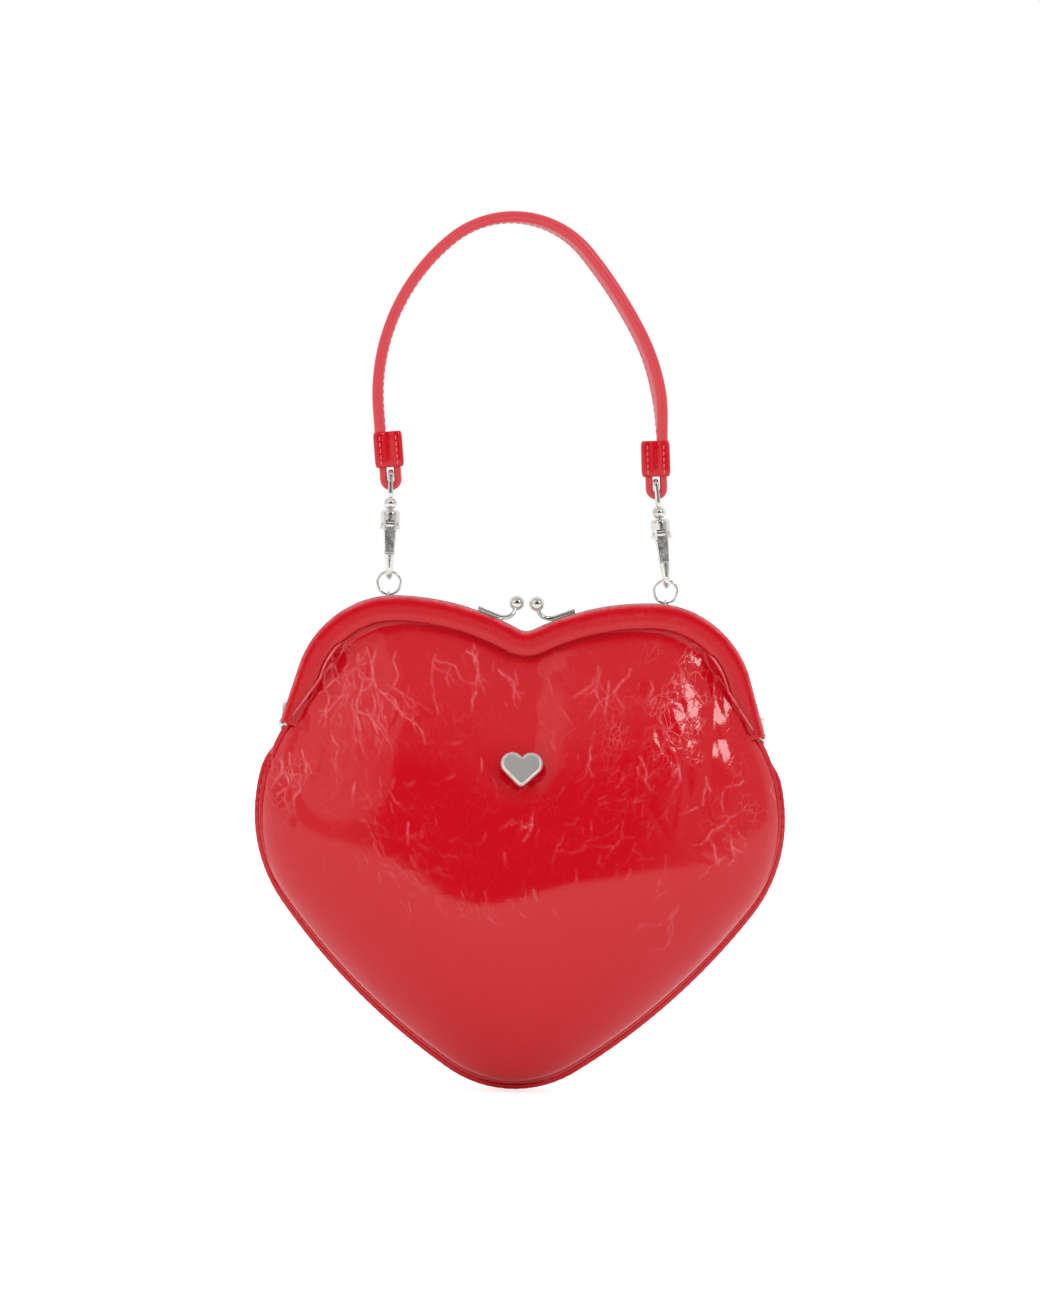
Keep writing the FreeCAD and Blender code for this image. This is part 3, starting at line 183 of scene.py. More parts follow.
# Paper cords: twisted kraft paper, one in each frame channel. They are pushed in over the edges of the
# leather and lining and wedge them fast, so they follow the frame's top line from hinge to hinge.
left_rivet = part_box("left_hinge_rivet")
HINGE_Z = (left_rivet[0].z + left_rivet[1].z) / 2
MIDDLE_Y = (left_rivet[0].y + left_rivet[1].y) / 2
HINGE_DROP = 35.0 * MM
HINGE_INSET = 8.2 * MM
DIP_Z = HINGE_Z + HINGE_DROP
BODY_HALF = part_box("piping")[1].x
TIP_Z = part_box("piping")[0].z
HINGE_SIDE = BODY_HALF - HINGE_INSET
LOBE_OUTER = 36.0 * MM
LOBE_INNER = 94.0 * MM
LOBE_RISE = 11.8 * MM
LOBE_INSET = 4.8 * MM
LOBE_SIDE = HINGE_SIDE - LOBE_INSET - LOBE_OUTER
DIP_RADIUS = 6.0 * MM
CORD_DROP = 3.5 * MM
CORD_END = 6.0 * MM
CORD_Y = 2.85 * MM
CORD_RADIUS = 0.8 * MM
CORD_PLIES, CORD_SWELL, CORD_TURNS = 3, 0.13, 34
PAPER_LIGHT = (0.60, 0.50, 0.36)
PAPER_DARK = (0.42, 0.33, 0.22)
PAPER_STREAKS, PAPER_DULLNESS = 900.0, 0.8


def circle_points(centre, radius, start, stop, count=60):
    """Points on a circle between two angles in degrees, as rows of (x, z)."""
    turn = np.radians(np.linspace(start, stop, count))
    return np.stack([centre[0] + radius * np.cos(turn), centre[1] + radius * np.sin(turn)], axis=1)


def even_points(points, count):
    """The same line with points at even steps of its length."""
    steps = np.linalg.norm(np.diff(points, axis=0), axis=1)
    keep = np.concatenate([[True], steps > 1e-9])
    points = points[keep]
    reach = np.concatenate([[0.0], np.cumsum(np.linalg.norm(np.diff(points, axis=0), axis=1))])
    wanted = np.linspace(0.0, reach[-1], count)
    return np.stack([np.interp(wanted, reach, points[:, axis]) for axis in range(points.shape[1])], axis=1)


def frame_line(depth, low, count):
    """Line that runs a depth inside the frame's top line: arcs of the dip, inner and outer lobe, then the
    straight side down to a height, on the right and mirrored to the left. Rows of (x, z), left to right."""
    inner = (LOBE_SIDE, DIP_Z + LOBE_RISE - LOBE_INNER)
    outer = (LOBE_SIDE, DIP_Z + LOBE_RISE - LOBE_OUTER)
    dip = (0.0, inner[1] + math.sqrt((DIP_RADIUS + LOBE_INNER) ** 2 - LOBE_SIDE ** 2))
    dip_angle = math.degrees(math.atan2(inner[1] - dip[1], inner[0]))
    across, along = HINGE_SIDE - outer[0], HINGE_Z - outer[1]
    side = math.atan2(along, across) + math.acos(LOBE_OUTER / math.hypot(across, along))
    radius = LOBE_OUTER - depth
    touch = (outer[0] + radius * math.cos(side), outer[1] + radius * math.sin(side))
    foot = (touch[0] + (touch[1] - low) * math.tan(side), low)
    right = np.concatenate([
        circle_points(dip, DIP_RADIUS + depth, -90.0, dip_angle),
        circle_points(inner, LOBE_INNER - depth, dip_angle + 180.0, 90.0),
        circle_points(outer, radius, 90.0, math.degrees(side)),
        [foot],
    ])
    left = right[::-1] * (-1.0, 1.0)
    return even_points(np.concatenate([left, right]), count)


def plane_normals(line):
    """Unit normals of a line in the XZ plane, to the left of its direction."""
    ahead = np.gradient(line, axis=0)
    ahead /= np.linalg.norm(ahead, axis=1)[:, None]
    return np.stack([-ahead[:, 1], ahead[:, 0]], axis=1)


def grid_faces(rows, columns, wrap=False):
    """Quads of a grid of points, row after row; wrap closes each row on itself."""
    row, column = np.meshgrid(np.arange(rows - 1), np.arange(columns if wrap else columns - 1), indexing="ij")
    after = (column + 1) % columns
    first = row * columns
    quads = [first + column, first + after, first + columns + after, first + columns + column]
    return np.stack(quads, axis=-1).reshape(-1, 4)


def add_piece(name, points, faces, material, uv=None, values=None):
    """Object at the origin from points and faces, smooth, turned outward if its volume is negative. A flat
    map and named values can be kept for each point."""
    points = np.asarray(points, float).reshape(-1, 3)
    faces = [list(map(int, face)) for face in faces]
    mesh = bpy.data.meshes.new(name)
    mesh.from_pydata(points.tolist(), [], faces)
    mesh.calc_loop_triangles()
    triangles = np.empty(len(mesh.loop_triangles) * 3, np.int32)
    mesh.loop_triangles.foreach_get("vertices", triangles)
    corners = (points - points.mean(axis=0))[triangles.reshape(-1, 3)]
    volume = np.einsum("ij,ij->", corners[:, 0], np.cross(corners[:, 1], corners[:, 2]))
    if volume < 0:
        mesh.flip_normals()
    mesh.polygons.foreach_set("use_smooth", np.ones(len(mesh.polygons), bool))
    if uv is not None:
        loops = np.empty(len(mesh.loops), np.int32)
        mesh.loops.foreach_get("vertex_index", loops)
        layer = mesh.uv_layers.new(name="leather")
        layer.data.foreach_set("uv", np.asarray(uv, float).reshape(-1, 2)[loops].astype(np.float32).ravel())
    for label, numbers in (values or {}).items():
        layer = mesh.attributes.new(label, "FLOAT", "POINT")
        layer.data.foreach_set("value", np.asarray(numbers, np.float32).ravel())
    mesh.materials.append(material)
    piece = bpy.data.objects.new(name, mesh)
    bpy.context.scene.collection.objects.link(piece)
    return piece


def swept(path, side, up, profile):
    """Points and faces of a profile carried along a path: each profile point (a, b) goes to the path point
    plus a times the side direction plus b times the up direction. The ends are closed."""
    profile = np.broadcast_to(profile, (len(path),) + np.shape(profile)[-2:])
    points = path[:, None] + profile[..., :1] * side[:, None] + profile[..., 1:] * up[:, None]
    rows, columns = points.shape[:2]
    faces = grid_faces(rows, columns, wrap=True).tolist()
    faces.append(list(range(columns - 1, -1, -1)))
    faces.append(list(range((rows - 1) * columns, rows * columns)))
    return points.reshape(-1, 3), faces


def upright(line, y):
    """Line of (x, z) rows at one y, as points, with its plane normals and the Y axis."""
    normal = plane_normals(line)
    path = np.stack([line[:, 0], np.full(len(line), y), line[:, 1]], axis=1)
    side = np.stack([normal[:, 0], np.zeros(len(line)), normal[:, 1]], axis=1)
    return path, side, np.tile((0.0, 1.0, 0.0), (len(line), 1))


def make_paper():
    """Kraft paper: two browns in fine streaks, dull."""
    material, tree, shader, place = new_material("twisted_paper")
    streak = noise(tree, place, PAPER_STREAKS, 3.0)
    wire(tree, two_tones(tree, streak, PAPER_DARK, PAPER_LIGHT), shader.inputs["Base Color"])
    shader.inputs["Roughness"].default_value = PAPER_DULLNESS
    add_bump(tree, streak, shader, 0.4, 0.3 * MM)
    return material


def make_frame_cord(half, way, paper):
    """Twist of plies: the radius swells once for each ply round the section, and turns along the path."""
    line = frame_line(CORD_DROP, HINGE_Z + CORD_END, 320)
    path, side, up = upright(line, MIDDLE_Y + way * CORD_Y)
    turn = np.linspace(0.0, 2 * np.pi, 18, endpoint=False)[None, :]
    twist = np.linspace(0.0, 2 * np.pi * CORD_TURNS, len(path))[:, None]
    radius = CORD_RADIUS * (1.0 + CORD_SWELL * np.cos(CORD_PLIES * turn + twist))
    profile = np.stack([radius * np.cos(turn), radius * np.sin(turn)], axis=-1)
    cord = add_piece(half + "_paper_cord", *swept(path, side, up, profile), paper)
    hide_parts(half + "_frame_cord")
    return cord


paper = make_paper()
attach(make_frame_cord("front", -1, paper), "front_half")
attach(make_frame_cord("back", 1, paper), "bag")

# Front and back panels: crinkled patent leather over a stiff backing, cut as hearts. Each is gathered into
# its frame channel along the top and sewn to the other round the piping, and stands puffed out over a hollow.
LEATHER_RED = (0.55, 0.0008, 0.008)
# Pale red of the cracks, crease lines and scratches, also used for painted highlights along rolled edges.
PALE_RED_CREASE_AND_HIGHLIGHT = (0.74, 0.14, 0.16)
BAND_HEIGHT = 9.0 * MM
PIPING_RADIUS = 1.5 * MM
WIDEST_Z = DIP_Z - 66.0 * MM
SHOULDER = 55.0 * MM
FLANK = 240.0 * MM
TIP_RADIUS = 42.0 * MM
FULLEST_Z = DIP_Z - 96.0 * MM
PANEL_DEPTH = 35.3 * MM
NECK_DEPTH = 4.4 * MM
LEATHER_THICK = 1.4 * MM
CHANNEL_Y = 4.6 * MM
TUCK = 2.2 * MM
SEAM_END = 0.6 * MM
NECK_RISE, NECK_DRAW = 40.0 * MM, 13.0 * MM
FULLEST_LIFT = 27.0 * MM
CROWN_DROP = 8.0 * MM
NECK_CURVE, RISE_CURVE, FALL_CURVE = 1.5, 0.85, 0.62
ARCH_FLATNESS, ARCH_CURVE = 2.4, 0.58
BAND_FACE = 7.25 * MM
VERGE = 2.2 * MM
FLAP_START, FLAP_EASE = 0.66, 0.05
FLAP_REACH = 6.4 * MM
FLAP_ROLL = 0.9 * MM
FLAP_LIFT = 0.4
# Painted highlight along the rolled flap edge: its width, and where on the roll it is centred.
FLAP_HIGHLIGHT_WIDTH, FLAP_CREST = 0.9 * MM, 0.7
BULGE_START, BULGE_SOONER = 6.0 * MM, 3.5 * MM
SEAM_Y, LEAST_Y = 0.5 * MM, 0.4 * MM
SEAM_HELD, SEAM_SHARE = 0.3, 0.02
PANEL_GRID, INNER_STEP = (217, 409), 8
ROW_SPACING = 1.15
MAP_CENTRE = 0.5
CRACK_TRACE, CRACK_SPREAD = 0.03, 0.05
CRACK_LOW, CRACK_FADE = 120.0 * MM, 90.0 * MM
CREASE_WIDTH = 0.33 * MM
CREASE_HEIGHT = 0.16 * MM
CREASE_FADE, CREASE_SEAM = 8.0 * MM, 0.05
CREASE_STEP, CREASE_TAPER = (1.6, 4.2), 5.0
CREASE_LENGTH, CREASE_STRENGTH = (0.5, 1.3), (0.45, 1.0)
CREASE_AIM, CREASE_WAVER, CREASE_RETURN = 0.25, 0.42, 0.45
FORK_CHANCE, FORK_TURN, FORK_LENGTH, FORK_STRENGTH = 0.16, 0.7, 0.5, 0.8
SCRATCH_STRENGTH = 0.38
FILM_SWIRLS = ((90.0, 6.0 * MM), (600.0, 1.0 * MM))
CELL_SCALE, CELL_DRAW = 420.0, (1.0, 0.6, 0.6)
CELL_EDGE = (0.0, 0.09, 0.7, 0.0)
BREAK_SCALE, BREAK_RANGE = 110.0, (0.40, 0.62)
UNEVEN_SCALE, UNEVEN_RANGE = 300.0, (0.30, 0.65, 0.25, 1.0)
SWELL_SCALE, SWELL_HEIGHT = 170.0, 0.5
GRAIN_SCALE, GRAIN_HEIGHT = 1300.0, 0.02
CRACK_HEIGHT, CREASE_DULLNESS = 0.30, 0.25
FILM_IOR, FILM_RELIEF = 1.52, 0.55
PUCKER_LENGTH, PUCKER_WIDTH, PUCKER_BEND = (4.0, 13.0), (1.2, 2.4), 18.0
PUCKER_TURN, PUCKER_STRENGTH = 0.55, (0.4, 1.0)
DENT_COUNT, DENT_HEIGHT, DENT_SIZE = 46, 0.7, (9.0, 24.0)
DENTED_WIDTH, DENTED_HEIGHT = (-85.0, 85.0), (-150.0, -10.0)


def seam_line(inset, count):
    """Body outline moved inward, from the left hinge round the tip to the right hinge: an arc from the hinge
    to the widest point, the shoulder arc, the bowed flank and the tip arc, mirrored. Rows of (x, z)."""
    rise = HINGE_Z - WIDEST_Z
    sag = BODY_HALF - HINGE_SIDE
    neck = (sag ** 2 + rise ** 2) / (2 * sag)
    shoulder = (BODY_HALF - SHOULDER, WIDEST_Z)
    tip = (0.0, TIP_Z + TIP_RADIUS)
    span = (tip[0] - shoulder[0], tip[1] - shoulder[1])
    apart, near, far = math.hypot(*span), FLANK - SHOULDER, FLANK - TIP_RADIUS
    corner = math.acos((near ** 2 + apart ** 2 - far ** 2) / (2 * near * apart))
    back = math.atan2(span[1], span[0]) - corner
    flank = (shoulder[0] + near * math.cos(back), shoulder[1] + near * math.sin(back))
    flank_top = math.degrees(back) + 180.0
    flank_low = math.degrees(math.atan2(tip[1] - flank[1], tip[0] - flank[0]))
    top = math.degrees(math.asin((rise + SEAM_END) / neck))
    right = np.concatenate([
        circle_points(tip, TIP_RADIUS - inset, -90.0, flank_low),
        circle_points(flank, FLANK - inset, flank_low, flank_top),
        circle_points(shoulder, SHOULDER - inset, flank_top, 0.0),
        circle_points((BODY_HALF - neck, WIDEST_Z), neck - inset, 0.0, top),
    ])
    left = right[::-1] * (-1.0, 1.0)
    return even_points(np.concatenate([left, right]), count)


def ease(value):
    """Smooth step from 0 to 1."""
    value = np.clip(value, 0.0, 1.0)
    return value * value * (3 - 2 * value)


def panel_depth(x, z):
    """Distance of the puffed leather from the middle plane: a depth for the height, a quarter sine from the
    frame to the fullest line and an arch from there to the tip, times a flattened arch across the width."""
    outline = seam_line(PIPING_RADIUS, 1200)
    half = outline[len(outline) // 2:]
    low_width = np.interp(z, half[:, 1], half[:, 0])
    over = np.clip((z - HINGE_Z) / NECK_RISE, 0.0, 1.0)
    width = np.where(z > HINGE_Z, half[-1, 0] - NECK_DRAW * over ** NECK_CURVE, low_width)
    middle = np.clip(np.abs(x) / np.maximum(width, 1e-6), 0.0, 1.0)
    full = FULLEST_Z + FULLEST_LIFT * middle ** 2
    groove = frame_line(BAND_HEIGHT, HINGE_Z, 400)[200:]
    crown = np.interp(np.abs(x), groove[:, 0], np.maximum(groove[:, 1], DIP_Z - CROWN_DROP))
    above = np.clip((crown - z) / (crown - full), 0.0, 1.0)
    below = np.clip((full - z) / (full - TIP_Z), 0.0, 1.0)
    rising = NECK_DEPTH + (PANEL_DEPTH - NECK_DEPTH) * np.sin(np.pi / 2 * above) ** RISE_CURVE
    falling = PANEL_DEPTH * (1.0 - below ** 2) ** FALL_CURVE
    return np.where(z > full, rising, falling) * (1.0 - middle ** ARCH_FLATNESS) ** ARCH_CURVE


def crinkle_at(x, z, patches):
    """How finely cracked the finish is, from 0 to 1: a bell round each patch, over a trace everywhere that
    fades towards the tip. A patch is (x, z, spread across, spread down, amount), in millimetres from the
    dip."""
    total = CRACK_TRACE + CRACK_SPREAD * ease((z - DIP_Z + CRACK_LOW) / CRACK_FADE)
    for middle_x, middle_z, across, down, amount in patches:
        away = ((x / MM - middle_x) / across) ** 2 + (((z - DIP_Z) / MM - middle_z) / down) ** 2
        total = total + amount * np.exp(-0.5 * away)
    return np.clip(total, 0.0, 1.0)


def crease_lines(seed, clusters):
    """Seeded crease lines: each walks down from a start near its cluster in short steps, with a heading that
    wavers about the cluster's lean, and may fork. A cluster is (x, z, spread across, spread down, count,
    length, lean), in millimetres from the dip. Rows of (x, z, next x, next z, strength), in metres."""
    chance = np.random.default_rng(seed)
    rows = []
    for middle_x, middle_z, across, down, count, length, lean in clusters:
        for _ in range(count):
            spot = chance.normal((middle_x, middle_z), (across, down)) * MM + (0.0, DIP_Z)
            aim = lean + chance.normal(0.0, CREASE_AIM)
            left = length * chance.uniform(*CREASE_LENGTH)
            walks = [(spot, aim, left, chance.uniform(*CREASE_STRENGTH))]
            while walks:
                spot, aim, left, strength = walks.pop()
                turn = aim
                while left > 0.0:
                    step = chance.uniform(*CREASE_STEP)
                    turn += chance.normal(0.0, CREASE_WAVER) + CREASE_RETURN * (aim - turn)
                    after = spot + step * MM * np.array([math.sin(turn), -math.cos(turn)])
                    rows.append((*spot, *after, strength * min(1.0, left / CREASE_TAPER)))
                    if len(walks) < 2 and chance.random() < FORK_CHANCE:
                        fork = aim + chance.choice((-FORK_TURN, FORK_TURN))
                        walks.append((after, fork, left * FORK_LENGTH, strength * FORK_STRENGTH))
                    spot, left = after, left - step
    return np.array(rows)


def line_mask(x, z, lines, width):
    """Bell across the nearest crease line: exp of minus its squared distance over the squared width."""
    total = np.zeros_like(x)
    for from_x, from_z, to_x, to_z, strength in lines:
        reach = 3.0 * width
        near = (np.abs(x - (from_x + to_x) / 2) < abs(to_x - from_x) / 2 + reach)
        near &= np.abs(z - (from_z + to_z) / 2) < abs(to_z - from_z) / 2 + reach
        run = np.array([to_x - from_x, to_z - from_z])
        away_x, away_z = x[near] - from_x, z[near] - from_z
        along = np.clip((away_x * run[0] + away_z * run[1]) / (run @ run), 0.0, 1.0)
        apart = (away_x - along * run[0]) ** 2 + (away_z - along * run[1]) ** 2
        total[near] = np.maximum(total[near], strength * np.exp(-apart / width ** 2))
    return total


def puckers(x, z, seed, patches):
    """Sum of small soft folds: each is a short line with a bell across it and rounded ends. A patch is (x, z,
    spread across, spread down, count, height), in millimetres from the dip."""
    chance = np.random.default_rng(seed)
    total = np.zeros_like(x)
    for middle_x, middle_z, spread_x, spread_z, count, height in patches:
        for _ in range(count):
            at_x, at_z = chance.normal((middle_x, middle_z), (spread_x, spread_z)) * MM
            turn = chance.normal(np.pi / 2, PUCKER_TURN)
            length = chance.uniform(*PUCKER_LENGTH) * MM
            width = chance.uniform(*PUCKER_WIDTH) * MM
            amount = height * chance.uniform(*PUCKER_STRENGTH) * chance.choice((-1.0, 1.0)) * MM
            bend = chance.uniform(-PUCKER_BEND, PUCKER_BEND)
            away_x, away_z = x - at_x, z - DIP_Z - at_z
            along = away_x * math.cos(turn) + away_z * math.sin(turn)
            across = away_z * math.cos(turn) - away_x * math.sin(turn) + bend * along ** 2
            total += amount * np.exp(-(across / width) ** 2 - (along / length) ** 4)
    return total


def dents(x, z, seed):
    """Sum of broad soft bumps and hollows spread over the panel."""
    chance = np.random.default_rng(seed)
    total = np.zeros_like(x)
    for _ in range(DENT_COUNT):
        at_x, at_z = chance.uniform(*DENTED_WIDTH) * MM, chance.uniform(*DENTED_HEIGHT) * MM
        wide, tall = chance.uniform(*DENT_SIZE, 2) * MM
        amount = DENT_HEIGHT * chance.uniform(-1.0, 1.0) * MM
        total += amount * np.exp(-((x - at_x) / wide) ** 2 - ((z - DIP_Z - at_z) / tall) ** 2)
    return total


def flap_reach(groove):
    """How far the leather laps over the band, for each point of the groove: the distance out to a straight
    line from the groove's shoulder to a point on the band at the hinge. Gives it with the line's outward
    direction."""
    count = len(groove)
    sign = np.where(np.arange(count) < count / 2, -1.0, 1.0)
    right = groove * np.stack([sign, np.ones(count)], axis=1)
    first = groove[int((1.0 + FLAP_START) / 2 * (count - 1))]
    last = groove[-1] + FLAP_REACH * plane_normals(groove)[-1]
    ahead = (last - first) / np.linalg.norm(last - first)
    outward = np.array([-ahead[1], ahead[0]])
    reach = np.maximum((first - right) @ outward, 0.0) * ((right - first) @ ahead > 0.0)
    return reach, outward * np.stack([sign, np.ones(count)], axis=1)


def panel_sheet(rows, columns, way, inset, flap):
    """Sheet from the frame's groove to the seam, column by column: tucked behind the band, out of the groove,
    near the hinges over the band and round a rolled edge, then straight to the seam, at the panel's depth.
    Gives the points, the distance from the edge, the distance to the seam and a painted highlight mask along
    the crest of the rolled edge."""
    hidden = frame_line(BAND_HEIGHT - TUCK + inset, HINGE_Z, columns)
    groove = frame_line(BAND_HEIGHT + inset, HINGE_Z, columns)
    seam = seam_line(PIPING_RADIUS + inset, columns)
    span = np.linspace(-1.0, 1.0, columns)
    lap, outward = flap_reach(groove)
    folded = flap * ease((np.abs(span) - FLAP_START) / FLAP_EASE)
    roll = FLAP_ROLL * folded
    lap = np.maximum(lap * flap, roll)
    edge = groove + (lap - roll)[:, None] * outward
    visible = np.linalg.norm(seam - edge, axis=1)
    run = np.linspace(0.0, 1.0, rows)[:, None] ** ROW_SPACING * (TUCK + lap + np.pi * roll + visible)
    tucked = np.clip(run / TUCK, 0.0, 1.0)
    under = np.clip((run - TUCK) / np.maximum(lap, 1e-9), 0.0, 1.0) * (lap > 0.0)
    turn = np.clip((run - TUCK - lap) / np.maximum(np.pi * roll, 1e-9), 0.0, 1.0) * np.pi * (roll > 0.0)
    out = np.clip(run - TUCK - lap - np.pi * roll, 0.0, visible)
    share = out / visible
    flat = hidden + tucked[..., None] * (groove - hidden)
    flat = flat + (under * (lap - roll) + roll * np.sin(turn))[..., None] * outward
    flat = flat + share[..., None] * (seam - edge)
    x, z = flat[..., 0], flat[..., 1]
    verge = frame_line(VERGE, HINGE_Z, 400)[300:][::-1]
    limit = np.where(z > HINGE_Z, np.interp(z, verge[:, 1], verge[:, 0]), BODY_HALF)
    x = np.clip(x, -limit, limit)
    lifted = CHANNEL_Y + folded * (BAND_FACE - CHANNEL_Y) * ease(under / FLAP_LIFT)
    base = lifted + roll * (1.0 - np.cos(turn))
    start = 1.0 - np.exp(-out / (BULGE_START - BULGE_SOONER * ease(span ** 2)))
    depth = base + (np.maximum(panel_depth(x, z), CHANNEL_Y) - base) * start
    freed = SEAM_HELD + (1.0 - SEAM_HELD) * ease((1.0 - share) / SEAM_SHARE)
    depth = SEAM_Y + (depth - SEAM_Y) * freed - inset
    points = np.stack([x, MIDDLE_Y + way * np.maximum(depth, LEAST_Y), z], axis=-1)
    # Painted highlight: a lighter band along the crest of the rolled flap edge, stored in the lines
    # attribute.
    edge_highlight = folded * np.exp(-((run - TUCK - lap - FLAP_CREST * np.pi * roll) / FLAP_HIGHLIGHT_WIDTH) ** 2)
    return points, out, share, edge_highlight


def creased(sheet, way, seed, patches, lines):
    """Sheet moved along its own normals by its puckers, dents and the ridges of its crease lines, which fade
    at the edge and the seam. Gives the points and the mask of the lines and of the painted highlight on the
    rolled edge."""
    points, out, share, edge_highlight = sheet
    x, z = points[..., 0], points[..., 2]
    normal = np.cross(np.gradient(points, axis=1), np.gradient(points, axis=0))
    normal *= way * np.sign(normal[len(points) // 2, points.shape[1] // 2, 1])
    normal /= np.maximum(np.linalg.norm(normal, axis=-1), 1e-12)[..., None]
    ridge = line_mask(x, z, lines, CREASE_WIDTH) * (out > 0.0)
    height = puckers(x, z, seed, patches) + dents(x, z, seed + 1) + CREASE_HEIGHT * ridge
    held = ease(out / CREASE_FADE) * ease((1.0 - share) / CREASE_SEAM)
    return points + normal * (height * held)[..., None], np.maximum(ridge, edge_highlight)


def shell(outer, inner, step):
    """Closed shell of a fine outer sheet and an inner sheet with every step-th row and column, joined by a
    rim."""
    rows, columns = outer.shape[:2]
    few_rows, few_columns = inner.shape[:2]
    offset = rows * columns
    faces = grid_faces(rows, columns).tolist()
    faces += (grid_faces(few_rows, few_columns)[:, ::-1] + offset).tolist()
    out = np.arange(offset).reshape(rows, columns)
    back = offset + np.arange(few_rows * few_columns).reshape(few_rows, few_columns)
    top_and_right = [(out[0], back[0]), (out[:, -1], back[:, -1])]
    low_and_left = [(out[-1, ::-1], back[-1, ::-1]), (out[::-1, 0], back[::-1, 0])]
    for fine, coarse in top_and_right + low_and_left:
        for number in range(len(coarse) - 1):
            edge = fine[number * step:(number + 1) * step + 1]
            faces.append([*edge[::-1], coarse[number], coarse[number + 1]])
    return np.concatenate([outer.reshape(-1, 3), inner.reshape(-1, 3)]), faces


def make_crinkle_group():
    """Crinkled patent film: small warped cell edges, broken up, as fine cracks, over soft puckers and a
    grain. Its first output is the mask of the cracks and of the lines that come in: crease lines, scratches,
    and painted highlights on rolled edges."""
    inputs = [("Place", "NodeSocketVector", None), ("Crinkle", "NodeSocketFloat", 0.1),
              ("Lines", "NodeSocketFloat", 0.0), ("Dullness", "NodeSocketFloat", 0.07)]
    group, start, end = new_group("crinkled_patent", inputs, ["Crease", "Roughness", "Height"])
    place = start.outputs["Place"]
    bent = place
    for scale, amount in FILM_SWIRLS:
        swirl = group.nodes.new("ShaderNodeTexNoise")
        swirl.inputs["Scale"].default_value = scale
        swirl.inputs["Detail"].default_value = 2.0
        wire(group, place, swirl.inputs["Vector"])
        shift = group.nodes.new("ShaderNodeVectorMath")
        shift.operation = "MULTIPLY_ADD"
        shift.inputs[1].default_value = (amount, amount, amount)
        wire(group, swirl.outputs["Color"], shift.inputs[0])
        wire(group, bent, shift.inputs[2])
        bent = shift.outputs["Vector"]
    drawn = group.nodes.new("ShaderNodeVectorMath")
    drawn.operation = "MULTIPLY"
    drawn.inputs[1].default_value = CELL_DRAW
    wire(group, bent, drawn.inputs[0])
    cells = group.nodes.new("ShaderNodeTexVoronoi")
    cells.feature = "DISTANCE_TO_EDGE"
    cells.inputs["Scale"].default_value = CELL_SCALE
    wire(group, drawn.outputs["Vector"], cells.inputs["Vector"])
    crack = remap(group, cells.outputs["Distance"], *CELL_EDGE)
    broken = remap(group, noise(group, place, BREAK_SCALE), *BREAK_RANGE)
    cracks = combine(group, "MULTIPLY", combine(group, "MULTIPLY", crack, broken), start.outputs["Crinkle"])
    uneven = remap(group, noise(group, place, UNEVEN_SCALE), *UNEVEN_RANGE)
    lines = combine(group, "MULTIPLY", start.outputs["Lines"], uneven)
    # Mask of the cracks and of the lines, which also carry painted highlights along rolled edges.
    crease = combine(group, "MAXIMUM", cracks, lines)
    swell = combine(group, "MULTIPLY", noise(group, bent, SWELL_SCALE), SWELL_HEIGHT)
    pucker = combine(group, "MULTIPLY", swell, start.outputs["Crinkle"])
    grain = combine(group, "MULTIPLY", noise(group, place, GRAIN_SCALE), GRAIN_HEIGHT)
    relief = combine(group, "ADD", pucker, grain)
    height = combine(group, "ADD", relief, combine(group, "MULTIPLY", cracks, CRACK_HEIGHT))
    rough = combine(group, "MULTIPLY_ADD", crease, CREASE_DULLNESS)
    wire(group, start.outputs["Dullness"], rough.node.inputs[2])
    wire(group, crease, end.inputs["Crease"])
    wire(group, rough, end.inputs["Roughness"])
    wire(group, height, end.inputs["Height"])
    return group


crinkle_group = make_crinkle_group()


def read_attribute(tree, label, socket):
    """A piece's named point values on a socket, 0 where it has none."""
    amount = tree.nodes.new("ShaderNodeAttribute")
    amount.attribute_name = label
    wire(tree, amount.outputs["Fac"], socket)


def make_patent(name, colour, depth, dullness, crinkle=None):
    """Patent leather with a bump depth in metres and a least roughness, lighter along the piece's lines
    attribute, which holds crease lines, scratches and painted highlights. Without a crinkle value it reads
    the piece's own map and its crinkle attribute."""
    material, tree, shader, place = new_material(name)
    film = tree.nodes.new("ShaderNodeGroup")
    film.node_tree = crinkle_group
    film.inputs["Dullness"].default_value = dullness
    if crinkle is None:
        source = tree.nodes.new("ShaderNodeUVMap")
        source.uv_map = "leather"
        place = source.outputs["UV"]
        read_attribute(tree, "crinkle", film.inputs["Crinkle"])
    else:
        film.inputs["Crinkle"].default_value = crinkle
    read_attribute(tree, "lines", film.inputs["Lines"])
    wire(tree, place, film.inputs["Place"])
    # Pale red where the mask is high: real cracks, creases and scratches, and painted highlights.
    wire(tree, two_tones(tree, film.outputs["Crease"], colour, PALE_RED_CREASE_AND_HIGHLIGHT), shader.inputs["Base Color"])
    wire(tree, film.outputs["Roughness"], shader.inputs["Roughness"])
    shader.inputs["IOR"].default_value = FILM_IOR
    add_bump(tree, film.outputs["Height"], shader, FILM_RELIEF, depth)
    return material


